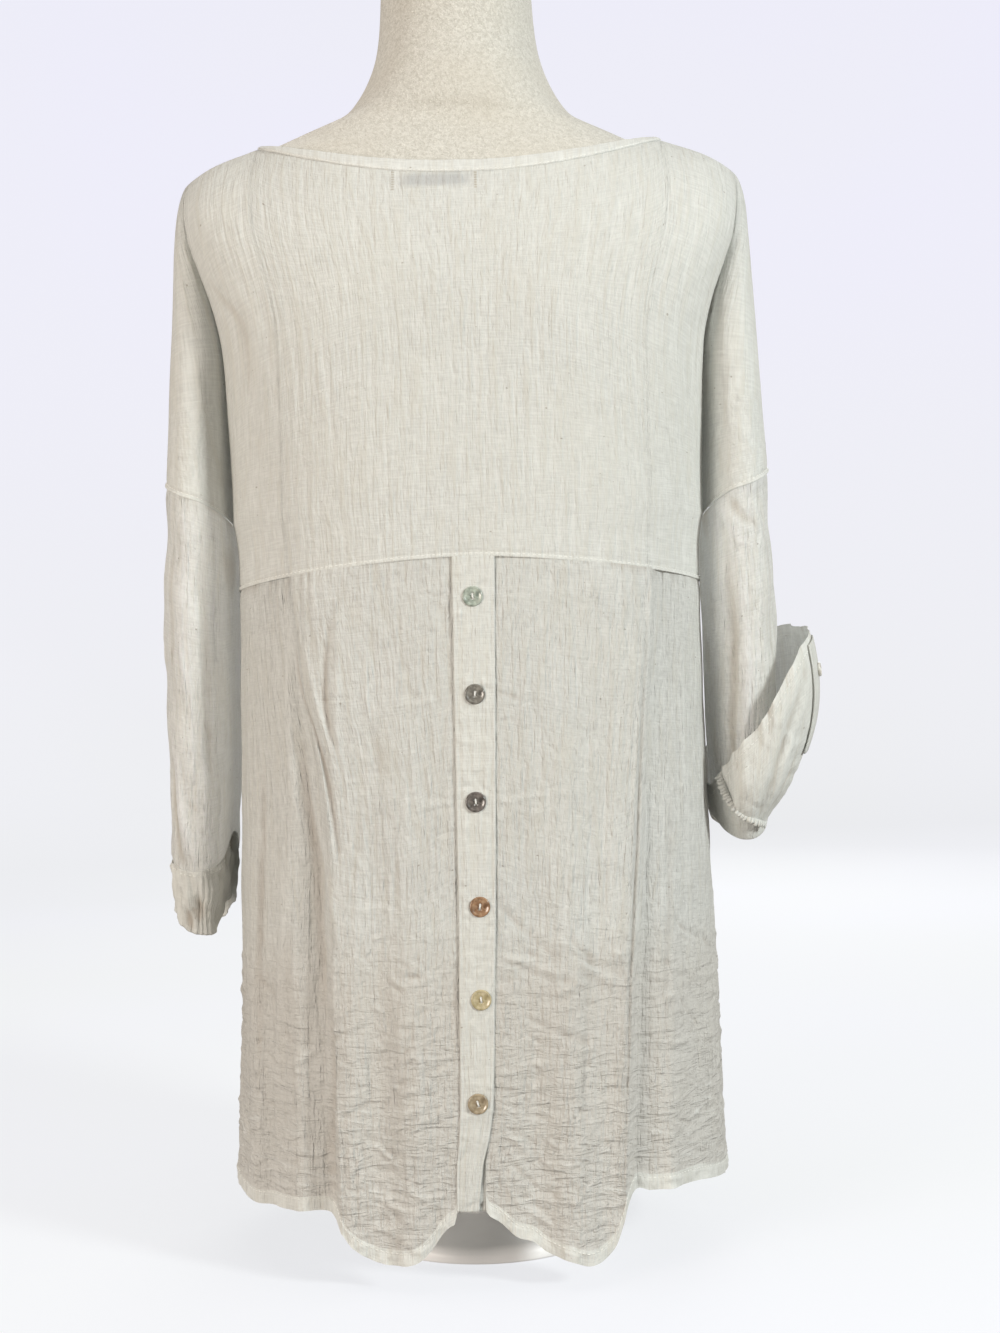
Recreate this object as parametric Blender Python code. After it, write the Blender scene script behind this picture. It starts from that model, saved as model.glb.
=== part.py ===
"""Linen tunic top with a buttoned back, hanging on a limbless dress form.

Metres, +Z up, origin under the middle of the form's base. The back of the
tunic faces -Y, and +X is on the right of someone who looks at its back.
Cloth pieces are walls: a grid of outer points, and the same points moved in.
"""
import bmesh
import bpy
import math
import numpy as np
from mathutils import Vector

# Cloth
WALL = 0.0014
SEAM_GAP = 0.0003
LEVEL_LIMIT = 0.35
HEM_WALL = 0.0022

# Shoulder line of the cloth: x from the centre line, and its height there
RIDGE_COLUMNS = ("x", "height")
RIDGE = (
    (0.000, 0.902),
    (0.060, 0.899),
    (0.095, 0.893),
    (0.135, 0.880),
    (0.157, 0.872),
    (0.190, 0.860),
    (0.212, 0.846),
    (0.2225, 0.836),
)
DOME_HEIGHT = 0.185
DOME_POWER = 1.2
DOME_LEVEL = 0.55

# Body of the cloth, a ring at each height; between the sleeves it is flatter
BODY_COLUMNS = ("height", "half_width", "back", "front")
BODY = (
    (0.000, 0.196, 0.160, 0.152),
    (0.130, 0.192, 0.156, 0.150),
    (0.265, 0.188, 0.151, 0.147),
    (0.400, 0.185, 0.147, 0.144),
    (0.515, 0.1835, 0.143, 0.142),
    (0.567, 0.1840, 0.141, 0.142),
    (0.700, 0.1840, 0.139, 0.142),
    (0.760, 0.1900, 0.138, 0.133),
    (0.850, 0.2050, 0.137, 0.115),
)
BODY_ROUNDNESS = 2.5

# Upper arm of the cloth: inner and outer edge, half depth, and how far the
# valley beside the body has closed, from 0 at the shoulder to 1 at the armpit
ARM_COLUMNS = ("height", "inner", "outer", "depth", "closing")
ARM = (
    (0.567, 0.1875, 0.2400, 0.072, 0.984),
    (0.605, 0.1870, 0.2390, 0.073, 0.93),
    (0.645, 0.1860, 0.2360, 0.075, 0.82),
    (0.700, 0.1840, 0.2335, 0.076, 0.62),
    (0.732, 0.1880, 0.2315, 0.078, 0.48),
    (0.760, 0.1960, 0.2300, 0.080, 0.34),
    (0.785, 0.2035, 0.2290, 0.084, 0.20),
    (0.815, 0.2090, 0.2275, 0.092, 0.08),
    (0.845, 0.2120, 0.2225, 0.105, 0.00),
)
ARMPIT = 0.567
ARM_SEAM_RISE = 0.038
ARMPIT_EASE = 0.02
ARMPIT_REACH = 0.034
VALLEY_U = 0.68

# Necklines: how far the opening reaches sideways, and its lowest height
NECK_HALF = 0.157
NECK_BACK = 0.833
NECK_FRONT = 0.775
NECK_CURVE = 2.2
BINDING_DEPTH = 0.009
BINDING_WALL = 0.0010
RIDGE_END = 0.2225
BODY_REACH = 0.945

# Empire seam across the back, and the hem
EMPIRE_CENTRE = 0.532
EMPIRE_SIDE = 0.515
FRONT_HEM = 0.026
FRONT_HEM_SIDE = 0.052

# Back hem heights by distance from the centre line, left and right tail
HEM_COLUMNS = ("x", "left", "right")
HEM = (
    (0.000, 0.058, 0.058),
    (0.013, 0.053, 0.050),
    (0.026, 0.045, 0.039),
    (0.037, 0.031, 0.035),
    (0.048, 0.0225, 0.027),
    (0.065, 0.0195, 0.021),
    (0.080, 0.0225, 0.0165),
    (0.097, 0.034, 0.027),
    (0.110, 0.052, 0.062),
    (0.125, 0.054, 0.0625),
    (0.150, 0.052, 0.062),
    (0.175, 0.051, 0.058),
    (0.196, 0.057, 0.050),
)
FLAP_END = 0.058

# Deep pleat of each skirt half: x of its fold by height, and its step
PLEAT_COLUMNS = ("height", "left", "right", "step")
PLEAT = (
    (0.000, 0.101, 0.105, 0.017),
    (0.065, 0.103, 0.106, 0.016),
    (0.205, 0.106, 0.114, 0.013),
    (0.355, 0.108, 0.125, 0.010),
    (0.435, 0.122, 0.131, 0.009),
    (0.515, 0.131, 0.138, 0.005),
)
PLEAT_RIDGE_SHARE = 0.35
PLEAT_RIDGE_WIDTH = 0.030
PLEAT_DROP_WIDTH = 0.006
PLEAT_TROUGH_WIDTH = 0.026
PLEAT_U = 0.52
SIDE_EASE = 0.02
FOLD_GROWTH = 1.4

# Lesser folds of each skirt half: side, place across it, width, depth at the
# hem, and the height where the fold starts; a depth above 0 is a ridge
FOLDS = (
    (-1, 0.047, 0.013, 0.0042, 0.42),
    (-1, 0.074, 0.012, -0.0040, 0.50),
    (-1, 0.136, 0.010, 0.0050, 0.51),
    (-1, 0.157, 0.009, -0.0045, 0.50),
    (-1, 0.172, 0.008, 0.0040, 0.47),
    (1, 0.040, 0.013, -0.0036, 0.36),
    (1, 0.066, 0.014, 0.0046, 0.48),
    (1, 0.092, 0.011, -0.0040, 0.50),
    (1, 0.140, 0.010, 0.0048, 0.49),
    (1, 0.163, 0.010, -0.0042, 0.46),
)
FRONT_FOLDS = (
    (-1, 0.120, 0.020, 0.0060, 0.55),
    (-1, 0.070, 0.022, -0.0050, 0.42),
    (-1, 0.022, 0.020, 0.0045, 0.36),
    (1, 0.032, 0.022, -0.0050, 0.40),
    (1, 0.082, 0.022, 0.0055, 0.48),
    (1, 0.128, 0.018, -0.0055, 0.55),
)

# Placket at the centre back: its left and right edge by height
PLACKET_COLUMNS = ("height", "left", "right")
PLACKET = (
    (0.040, -0.018, -0.004),
    (0.090, -0.017, 0.001),
    (0.110, -0.015, 0.006),
    (0.135, -0.0135, 0.0095),
    (0.210, -0.0125, 0.0125),
    (0.277, -0.0114, 0.0147),
    (0.400, -0.0110, 0.0175),
    (0.532, -0.0105, 0.0200),
)
PLACKET_LAP = 0.003
RIGHT_FLAP_SHIFT = 0.006
SPLIT_START = 0.114
SPLIT_FADE = 0.060
BUTTON_HEIGHTS = (0.5026, 0.4313, 0.3530, 0.2770, 0.2100, 0.1355)
BUTTON_X = (0.0037, 0.0037, 0.0025, 0.0037, 0.0030, -0.0010)
BUTTON_RADIUS = 0.0075
BUTTON_THICKNESS = 0.0024
BUTTON_HOLE_RADIUS = 0.0009
BUTTON_HOLE_PITCH = 0.0034
HOLE_TURN = 0.35
HOLE_DEPTH = 0.02
BUTTON_SEAT_X = 0.004
BUTTON_SEAT_SPAN = 0.008

# Sleeves below the dropped seam, and the height of each open end by angle
# (0 outside, 90 at the back, 180 beside the body, 270 at the front)
SLEEVE_COLUMNS = ("height", "inner", "outer", "back", "front")
LEFT_SLEEVE = (
    (0.240, 0.2060, 0.2370, 0.046, 0.052),
    (0.270, 0.2010, 0.2390, 0.052, 0.057),
    (0.310, 0.1960, 0.2425, 0.060, 0.063),
    (0.370, 0.1915, 0.2415, 0.066, 0.067),
    (0.440, 0.1895, 0.2425, 0.070, 0.070),
    (0.520, 0.1885, 0.2425, 0.072, 0.072),
    (0.567, 0.1875, 0.2400, 0.072, 0.072),
    (0.605, 0.1870, 0.2390, 0.073, 0.073),
)
RIGHT_SLEEVE = (
    (0.310, 0.1945, 0.2290, 0.055, 0.055),
    (0.330, 0.1935, 0.2320, 0.057, 0.057),
    (0.370, 0.1910, 0.2370, 0.064, 0.064),
    (0.430, 0.1895, 0.2420, 0.070, 0.070),
    (0.500, 0.1885, 0.2430, 0.072, 0.072),
    (0.567, 0.1875, 0.2400, 0.072, 0.072),
    (0.605, 0.1870, 0.2390, 0.073, 0.073),
)
LEFT_END_COLUMNS = ("angle", "sleeve", "cuff")
LEFT_END = (
    (0.0, 0.305, 0.268),
    (50.0, 0.300, 0.254),
    (95.0, 0.296, 0.247),
    (140.0, 0.302, 0.250),
    (175.0, 0.322, 0.272),
    (205.0, 0.306, 0.262),
    (270.0, 0.294, 0.246),
    (360.0, 0.305, 0.268),
)
CUFF_WAVES = 15
CUFF_WAVE_DEPTH = 0.0022

# Turned-back cuff of the right sleeve: fold height, edge height, and how far
# it stands off the sleeve, by angle
ROLL_COLUMNS = ("angle", "fold", "edge", "stand_off")
ROLL = (
    (0.0, 0.326, 0.478, 0.0340),
    (45.0, 0.318, 0.458, 0.0300),
    (90.0, 0.313, 0.396, 0.0170),
    (135.0, 0.318, 0.364, 0.0080),
    (180.0, 0.327, 0.352, 0.0032),
    (225.0, 0.320, 0.368, 0.0080),
    (270.0, 0.314, 0.405, 0.0150),
    (315.0, 0.320, 0.474, 0.0250),
    (360.0, 0.326, 0.478, 0.0340),
)
ROLL_PEAK = 0.66
ROLL_REACH = 1.45
ARM_COUNT = 8
ARM_AXIS = 0.214
TUBE_COUNT = 32
TUBE_EVENING = 3
TAB_CENTRE_ANGLE = 22.0
TAB_HALF_ANGLE = 12.0
TAB_START = 0.40
TAB_END = 0.97
TAB_WALL = 0.0012
TAB_BUTTON_RADIUS = 0.0055

# Blank label inside the back neck
LABEL_CENTRE = -0.018
LABEL_HALF_WIDTH = 0.031
LABEL_DROP = 0.008
LABEL_DEPTH = 0.017
LABEL_WALL = 0.0010

# Dress form: rings by height, then neck cap, pole and base
FORM_COLUMNS = ("height", "half_width", "back", "front")
FORM = (
    (0.225, 0.146, 0.098, 0.098),
    (0.262, 0.156, 0.112, 0.108),
    (0.310, 0.158, 0.116, 0.108),
    (0.370, 0.142, 0.098, 0.096),
    (0.435, 0.124, 0.082, 0.086),
    (0.500, 0.134, 0.092, 0.098),
    (0.570, 0.152, 0.108, 0.124),
    (0.640, 0.162, 0.118, 0.130),
    (0.710, 0.172, 0.120, 0.119),
    (0.765, 0.184, 0.112, 0.111),
    (0.805, 0.194, 0.101, 0.096),
    (0.828, 0.198, 0.093, 0.084),
    (0.843, 0.193, 0.087, 0.074),
)
SHOULDER_COLUMNS = ("height", "back", "front", "sharpness")
SHOULDER = (
    (0.849, 0.084, 0.068, 1.40),
    (0.855, 0.081, 0.067, 1.40),
    (0.8595, 0.079, 0.066, 1.40),
    (0.864, 0.077, 0.065, 1.40),
    (0.8685, 0.075, 0.064, 1.40),
    (0.873, 0.073, 0.064, 1.30),
    (0.878, 0.072, 0.064, 1.20),
    (0.884, 0.071, 0.065, 1.10),
)
FORM_SHARPNESS = 0.92
SHOULDER_CLEARANCE = 0.0021
NECK_COLUMNS = ("height", "radius")
NECK = (
    (0.889, 0.0985),
    (0.896, 0.0900),
    (0.909, 0.0795),
    (0.926, 0.0710),
    (0.942, 0.0655),
    (0.965, 0.0620),
    (1.000, 0.0605),
)
NECK_DEPTH_RATIO = 0.95
NECK_BASE_RATIOS = (0.678, 0.593)
RIGHT_DROP = 0.04
DROP_COLUMNS = ("height", "share")
DROP = (
    (0.800, 0.0),
    (0.849, 1.0),
    (0.900, 1.0),
    (0.942, 0.0),
)
NECK_BASE_RINGS = 4
CAP_THICKNESS = 0.010
POLE_RADIUS = 0.014
BASE_RADIUS = 0.100
BASE_THICKNESS = 0.012

# Grids: columns from the centre to the neckline's end, and rows down a panel
NECK_SHARES = (0.0, 0.20, 0.40, 0.58, 0.74, 0.87, 0.95, 1.0)
UPPER_LEVELS = (0.10, 0.22, 0.35, 0.50, 0.65, 0.80, 0.92, 1.0)
SKIRT_LEVELS = tuple(0.98 * n / 11 for n in range(12)) + (1.0,)


def read_table(table, columns, name, key):
    """Value of one column at a key, on a smooth curve through the rows."""
    place = columns.index(name)
    keys = [row[0] for row in table]
    values = [row[place] for row in table]
    if key <= keys[0]:
        return values[0]
    if key >= keys[-1]:
        return values[-1]
    last = len(keys) - 1
    i = next(n for n in range(last) if key <= keys[n + 1])

    def slope(n):
        before = max(n - 1, 0)
        after = min(n + 1, last)
        return (values[after] - values[before]) / (keys[after] - keys[before])

    span = keys[i + 1] - keys[i]
    t = (key - keys[i]) / span
    start = (1 + 2 * t) * (1 - t) ** 2 * values[i] + t * (1 - t) ** 2 * span * slope(i)
    end = t * t * (3 - 2 * t) * values[i + 1] + t * t * (t - 1) * span * slope(i + 1)
    return start + end


def mix(a, b, t):
    return a + (b - a) * t


def dome(drop):
    """Share of the full depth at a drop below the shoulder line."""
    if drop >= DOME_HEIGHT:
        return 1.0
    angle = math.acos(1.0 - max(drop, 0.0) / DOME_HEIGHT)
    return math.sin(angle) ** DOME_POWER


def ridge(x):
    return read_table(RIDGE, RIDGE_COLUMNS, "height", abs(x))


def valley(z):
    """Where the body meets the upper arm of the cloth: x and depth."""
    inner = read_table(ARM, ARM_COLUMNS, "inner", z)
    outer = read_table(ARM, ARM_COLUMNS, "outer", z)
    depth = read_table(ARM, ARM_COLUMNS, "depth", z)
    angle = math.pi / 2 * (1 + read_table(ARM, ARM_COLUMNS, "closing", z))
    width = (outer - inner) / 2
    return (inner + outer) / 2 + width * math.cos(angle), depth * math.sin(angle)


def round_profile(share):
    """Depth of the body's ring at a share of its half width."""
    return max(1.0 - abs(share) ** BODY_ROUNDNESS, 0.0) ** (1 / BODY_ROUNDNESS)


def fold_offset(folds, side, x, z):
    """How far the lesser folds lift the cloth at a place."""
    total = 0.0
    for fold_side, centre, width, depth, start in folds:
        if fold_side == side and z < start:
            grown = min((start - z) / start * FOLD_GROWTH, 1.0)
            total += depth * grown * math.exp(-(((x - centre) / width) ** 2))
    return total


def neck_height(x, lowest):
    share = min(abs(x) / NECK_HALF, 1.0)
    return mix(lowest, ridge(NECK_HALF), share ** NECK_CURVE)


def column_top(u, lowest):
    """Ridge height of a column, and the angle where its cloth starts."""
    top_x = RIDGE_END * across(u)
    crest = ridge(top_x)
    if top_x >= NECK_HALF:
        return crest, 0.0
    drop = crest - neck_height(top_x, lowest)
    return crest, math.acos(1.0 - drop / DOME_HEIGHT)


def across(u):
    """Share of the half width that a column u reaches."""
    size = abs(u)
    if size <= VALLEY_U:
        return BODY_REACH * math.sin(size / VALLEY_U * math.pi / 2)
    return mix(BODY_REACH, 1.0, (size - VALLEY_U) / (1 - VALLEY_U))


def upper_point(u, v, facing):
    """Point of the yoke or the upper front; v runs 0 to 1 down to the armpit."""
    lowest = NECK_BACK if facing < 0 else NECK_FRONT
    side = -1 if u < 0 else 1
    size = abs(u)
    crest, start = column_top(u, lowest)
    arm_share = max((size - VALLEY_U) / (1 - VALLEY_U), 0.0)
    bottom = ARMPIT + ARM_SEAM_RISE * arm_share
    if v <= DOME_LEVEL:
        angle = mix(start, math.pi / 2, v / DOME_LEVEL)
        z = crest - DOME_HEIGHT * (1 - math.cos(angle))
    else:
        z = mix(crest - DOME_HEIGHT, bottom, (v - DOME_LEVEL) / (1 - DOME_LEVEL))
    depth_share = dome(crest - z)
    edge_x, edge_depth = valley(z)
    if size <= VALLEY_U:
        share = math.sin(size / VALLEY_U * math.pi / 2)
        column = "back" if facing < 0 else "front"
        full = read_table(BODY, BODY_COLUMNS, column, z)
        x = edge_x * share
        depth = edge_depth + (full - edge_depth) * round_profile(share)
    else:
        inner = read_table(ARM, ARM_COLUMNS, "inner", z)
        outer = read_table(ARM, ARM_COLUMNS, "outer", z)
        closing = read_table(ARM, ARM_COLUMNS, "closing", z)
        angle = math.pi / 2 * (1 + closing) * (1 - arm_share)
        x = (inner + outer) / 2 + (outer - inner) / 2 * math.cos(angle)
        depth = read_table(ARM, ARM_COLUMNS, "depth", z) * math.sin(angle)
    return side * x, facing * max(depth * depth_share, SEAM_GAP / 2), z


def lower_point(share, side, z, facing):
    """Point of the body below the armpit, by its share of the half width."""
    column = "back" if facing < 0 else "front"
    half = read_table(BODY, BODY_COLUMNS, "half_width", z)
    full = read_table(BODY, BODY_COLUMNS, column, z)
    edge = valley(ARMPIT)[1] * max(1 - (ARMPIT - z) / ARMPIT_EASE, 0.0)
    reach = valley(ARMPIT)[0] - read_table(BODY, BODY_COLUMNS, "half_width", ARMPIT) - SEAM_GAP
    half += reach * max(1 - (ARMPIT - z) / ARMPIT_REACH, 0.0) ** 2
    depth = edge + (full - edge) * round_profile(share)
    return side * half * share, facing * max(depth, SEAM_GAP / 2), z


def empire_height(share):
    return mix(EMPIRE_CENTRE, EMPIRE_SIDE, share ** 1.6)


def yoke_point(u, v):
    """Back yoke; v runs 0 to 1 to the armpit and 1 to 2 to the empire seam."""
    if v <= 1 or abs(u) > VALLEY_U:
        return upper_point(u, min(v, 1.0), -1)
    share = math.sin(abs(u) / VALLEY_U * math.pi / 2)
    z = mix(ARMPIT, empire_height(share), v - 1)
    return lower_point(share, -1 if u < 0 else 1, z, -1)


def front_point(u, v):
    """Front panel; v runs 0 to 1 to the armpit and 1 to 2 to the hem."""
    if v <= 1 or abs(u) > VALLEY_U:
        return upper_point(u, min(v, 1.0), 1)
    side = -1 if u < 0 else 1
    share = math.sin(abs(u) / VALLEY_U * math.pi / 2)
    hem = mix(FRONT_HEM, FRONT_HEM_SIDE, share ** 2)
    z = mix(ARMPIT, hem, v - 1)
    x, y, z = lower_point(share, side, z, 1)
    lift = fold_offset(FRONT_FOLDS, side, abs(x), z)
    return x, max(y + lift * round_profile(share), SEAM_GAP / 2), z


def pleat_offset(side, x, z):
    """Step of the deep pleat: a ridge inside its fold, a trough outside."""
    fold_x = read_table(PLEAT, PLEAT_COLUMNS, "left" if side < 0 else "right", z)
    step = read_table(PLEAT, PLEAT_COLUMNS, "step", z)
    away = x - fold_x
    if away <= 0:
        return PLEAT_RIDGE_SHARE * step * math.exp(-((away / PLEAT_RIDGE_WIDTH) ** 2))
    settle = math.exp(-away / PLEAT_TROUGH_WIDTH)
    drop = min(away / PLEAT_DROP_WIDTH, 1.0)
    trough = (1 - PLEAT_RIDGE_SHARE) * settle
    return step * (PLEAT_RIDGE_SHARE * (1 - drop) - trough * drop)


def placket_edge(side, z):
    name = "left" if side < 0 else "right"
    return read_table(PLACKET, PLACKET_COLUMNS, name, z)


def back_surface(x, side, z):
    """Depth of the skirt's back at a signed x."""
    half = read_table(BODY, BODY_COLUMNS, "half_width", z)
    full = read_table(BODY, BODY_COLUMNS, "back", z)
    profile = round_profile(min(abs(x) / half, 1.0))
    lift = pleat_offset(side, side * x, z) + fold_offset(FOLDS, side, side * x, z)
    soften = min((half - abs(x)) / SIDE_EASE, 1.0)
    return -max(full * profile + lift * max(soften, 0.0), SEAM_GAP / 2)


def split_open(z):
    """How far the two flaps have parted below the last button."""
    return min(max((SPLIT_START - z) / SPLIT_FADE, 0.0), 1.0)


def skirt_x(side, u, z):
    """Distance of a skirt column from the centre line at a height."""
    half = read_table(BODY, BODY_COLUMNS, "half_width", z)
    fold_x = read_table(PLEAT, PLEAT_COLUMNS, "left" if side < 0 else "right", z)
    inner_edge = side * placket_edge(side, z) + SEAM_GAP
    if side > 0:
        inner_edge += RIGHT_FLAP_SHIFT * split_open(z)
    if u <= PLEAT_U:
        return mix(inner_edge, fold_x, u / PLEAT_U)
    first = math.asin(fold_x / half)
    return half * math.sin(mix(first, math.pi / 2, (u - PLEAT_U) / (1 - PLEAT_U)))


def under_yoke(x):
    """Height where a piece starts that is sewn under the yoke."""
    half = read_table(BODY, BODY_COLUMNS, "half_width", EMPIRE_CENTRE)
    return empire_height(min(abs(x) / half, 1.0)) - 2 * SEAM_GAP


def skirt_point(side, u, v):
    """Skirt half; u runs 0 to 1 from the placket to the side seam."""
    name = "left" if side < 0 else "right"
    top = under_yoke(skirt_x(side, u, EMPIRE_CENTRE))
    if u == 0:
        hem = FLAP_END
    else:
        hem = read_table(HEM, HEM_COLUMNS, name, skirt_x(side, u, FLAP_END))
    z = mix(top, hem, v)
    x = skirt_x(side, u, z)
    return side * x, back_surface(side * x, side, z), z


def placket_point(u, v, lap):
    """Over placket (lap 0), or the under placket that reaches past it."""
    z = mix(under_yoke(placket_edge(1, EMPIRE_CENTRE)), FLAP_END, v)
    shift = lap + RIGHT_FLAP_SHIFT * split_open(z) * (lap > 0)
    x = mix(placket_edge(-1, z), placket_edge(1, z), u) + shift
    return x, back_surface(x, -1 if x < 0 else 1, z), z


def sleeve_section(table, angle, z):
    """Point of a sleeve's tube at an angle, on the +X side."""
    inner = read_table(table, SLEEVE_COLUMNS, "inner", z)
    outer = read_table(table, SLEEVE_COLUMNS, "outer", z)
    name = "back" if math.sin(angle) > 0 else "front"
    depth = read_table(table, SLEEVE_COLUMNS, name, z)
    x = (inner + outer) / 2 + (outer - inner) / 2 * math.cos(angle)
    return x, -depth * math.sin(angle), z


def arm_seam(around):
    """Angle and height of the dropped seam; around runs 0 to 2 from the armpit."""
    share = min(around, 2 - around)
    z = ARMPIT + ARM_SEAM_RISE * share
    full = math.pi / 2 * (1 + read_table(ARM, ARM_COLUMNS, "closing", z))
    angle = (1 - share) * (full if share > 0 else math.pi)
    return (angle if around <= 1 else 2 * math.pi - angle), z


def tube_angle(around, v):
    """Angle of a sleeve column, even below the seam."""
    even = math.pi * (1 - around) % (2 * math.pi)
    start = arm_seam(around)[0] % (2 * math.pi)
    return mix(start, even, min(v * TUBE_EVENING, 1.0))


def sleeve_point(table, end_height, u, v):
    """Sleeve on the +X side; its top edge follows the flat facets of the yoke."""
    around = 2 * u
    angle = tube_angle(around, v)
    if v > 0:
        z = mix(arm_seam(around)[1] - SEAM_GAP, end_height(angle), v)
        return sleeve_section(table, angle, z)
    scaled = around * ARM_COUNT
    first = math.floor(scaled)
    corners = []
    for number in (first, first + 1):
        turn, z = arm_seam(min(number / ARM_COUNT, 2.0))
        corners.append(sleeve_section(table, turn, z - SEAM_GAP))
    return tuple(mix(a, b, scaled - first) for a, b in zip(*corners))


def left_end(name, angle):
    return read_table(LEFT_END, LEFT_END_COLUMNS, name, math.degrees(angle) % 360.0)


def left_sleeve_point(u, v):
    x, y, z = sleeve_point(LEFT_SLEEVE, lambda angle: left_end("sleeve", angle), u, v)
    return -x, y, z


def left_cuff_point(u, v):
    """Gathered cuff; its top edge follows the flat facets of the sleeve."""
    if v == 0:
        scaled = u * TUBE_COUNT
        first = math.floor(scaled)
        a = left_sleeve_point(first / TUBE_COUNT, 1.0)
        b = left_sleeve_point((first + 1) / TUBE_COUNT, 1.0)
        x, y, z = (mix(p, q, scaled - first) for p, q in zip(a, b))
        return x, y, z - 2 * SEAM_GAP
    angle = math.pi * (1 - 2 * u) % (2 * math.pi)
    z = mix(left_end("sleeve", angle), left_end("cuff", angle), v)
    x, y, z = sleeve_section(LEFT_SLEEVE, angle, z)
    wave = CUFF_WAVE_DEPTH * min(v * 1.5, 1) * math.cos(CUFF_WAVES * angle)
    x += wave * math.cos(angle)
    y -= wave * math.sin(angle)
    return -x, y, z


def roll_value(name, angle):
    return read_table(ROLL, ROLL_COLUMNS, name, math.degrees(angle) % 360.0)


def right_sleeve_point(u, v):
    return sleeve_point(RIGHT_SLEEVE, lambda angle: roll_value("fold", angle), u, v)


def roll_point(u, v):
    """Turned-back cuff, from its fold (v 0) up to its free edge (v 1)."""
    angle = math.pi * (1 - 2 * u) % (2 * math.pi)
    z = mix(roll_value("fold", angle) - 2 * SEAM_GAP, roll_value("edge", angle), v)
    x, y, z = sleeve_section(RIGHT_SLEEVE, angle, z)
    rise = math.sin(math.pi / 2 * min(v / ROLL_PEAK, 1.0))
    fall = math.cos(math.pi / 2 * max((v - ROLL_PEAK) / (ROLL_REACH - ROLL_PEAK), 0.0))
    near = WALL + 2 * SEAM_GAP
    stand_off = near + max(roll_value("stand_off", angle) - near, 0.0) * rise * fall
    x += stand_off * math.cos(angle)
    y -= stand_off * math.sin(angle)
    return x, y, z


def tab_point(u, v):
    """Strap that holds the roll, on the outside of the turned-back cuff."""
    angle = math.radians(TAB_CENTRE_ANGLE + TAB_HALF_ANGLE * (2 * u - 1))
    return roll_point((math.pi - angle) / (2 * math.pi), mix(TAB_START, TAB_END, v))


def vertex_normals(points, faces):
    normals = np.zeros_like(points)
    for face in faces:
        corners = points[list(face)]
        normal = np.cross(corners[2] - corners[0], corners[3] - corners[1])
        for index in face:
            normals[index] += normal
    return normals / np.linalg.norm(normals, axis=1)[:, None]


def grid_faces(rows, columns, closed, keep):
    """Quads of a grid; closed joins the last column to the first."""
    faces = []
    for r in range(rows - 1):
        for c in range(columns if closed else columns - 1):
            if keep is None or keep(r, c):
                after = (c + 1) % columns
                faces.append((r * columns + c, r * columns + after,
                              (r + 1) * columns + after, (r + 1) * columns + c))
    return faces


def wall(name, material, rows, axis_x=0.0, lift=0.0, thickness=WALL, closed=False,
         keep=None, guide=None, flat=None):
    """Closed cloth wall from rows of outer points around an upright axis.

    lift moves the outer face out, and lift and thickness are one value or one
    for each row. The inner face keeps the heights of the top and bottom rows.
    guide(row, column, point) gives a direction and weight where a crease is too
    deep for a mean normal, and flat(outer, inner) squares an edge at a seam.
    """
    count = len(rows[0])
    points = np.array([point for row in rows for point in row], dtype=float)
    faces = grid_faces(len(rows), count, closed, keep)
    used = sorted({index for face in faces for index in face})
    renumber = {index: n for n, index in enumerate(used)}
    faces = [tuple(renumber[index] for index in face) for face in faces]
    row_of = [index // count for index in used]
    points = points[used]
    normals = vertex_normals(points, faces)
    outward = points - np.array((axis_x, 0.0, 0.0))
    outward[:, 2] = 0.0
    if np.sum(normals * outward) < 0:
        normals = -normals
    if guide:
        for n, index in enumerate(used):
            direction, weight = guide(*divmod(index, count), points[n])
            normals[n] = normals[n] * (1 - weight) + np.array(direction) * weight
            normals[n] /= np.linalg.norm(normals[n])
    lifts = np.broadcast_to(lift, len(rows))[row_of]
    depths = np.broadcast_to(thickness, len(rows))[row_of]
    outer = points + normals * lifts[:, None]
    inner = outer - normals * depths[:, None]
    edges = {(a, b) for face in faces for a, b in zip(face, face[1:] + face[:1])}
    rim = [(a, b) for a, b in edges if (b, a) not in edges]
    for a, b in rim:
        if abs(normals[a][2]) < LEVEL_LIMIT:
            inner[a][2] = outer[a][2]
    if flat:
        for n in range(len(outer)):
            flat(outer[n], inner[n])
    total = len(outer)
    solid_faces = faces + [tuple(index + total for index in reversed(face)) for face in faces]
    solid_faces += [(b, a, a + total, b + total) for a, b in sorted(rim)]
    mesh = bpy.data.meshes.new(name)
    mesh.from_pydata(np.vstack((outer, inner)).tolist(), [], solid_faces)
    return finish_object(name, mesh, material)


def finish_object(name, mesh, material):
    work = bmesh.new()
    work.from_mesh(mesh)
    bmesh.ops.recalc_face_normals(work, faces=work.faces)
    bmesh.ops.triangulate(work, faces=work.faces)
    work.to_mesh(mesh)
    work.free()
    mesh.materials.append(material)
    mesh.shade_smooth()
    mesh.set_sharp_from_angle(angle=math.radians(50))
    thing = bpy.data.objects.new(name, mesh)
    bpy.context.collection.objects.link(thing)
    return thing


def sample(point, us, vs):
    return [[point(u, v) for u in us] for v in vs]


def steps(start, end, count):
    return [start + (end - start) * n / count for n in range(count + 1)]


def square_middle(facing):
    """Keep an edge on the seam plane between back and front."""
    def flat(outer, inner):
        if abs(outer[1]) <= SEAM_GAP:
            outer[1] = facing * SEAM_GAP / 2
            inner[1] = facing * SEAM_GAP / 2
        elif inner[1] * facing < SEAM_GAP / 2:
            inner[1] = facing * SEAM_GAP / 2
    return flat


def valley_guide(columns, rows_above, facing):
    """In the valley beside the arm the wall's inside lies straight behind it."""
    def guide(r, c, point):
        deep = abs(abs(columns[c]) - VALLEY_U) < 1e-6 and r <= rows_above
        closing = read_table(ARM, ARM_COLUMNS, "closing", point[2]) if deep else 0.0
        return (0.0, facing, 0.0), min(closing * 4, 1.0)
    return guide


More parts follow.
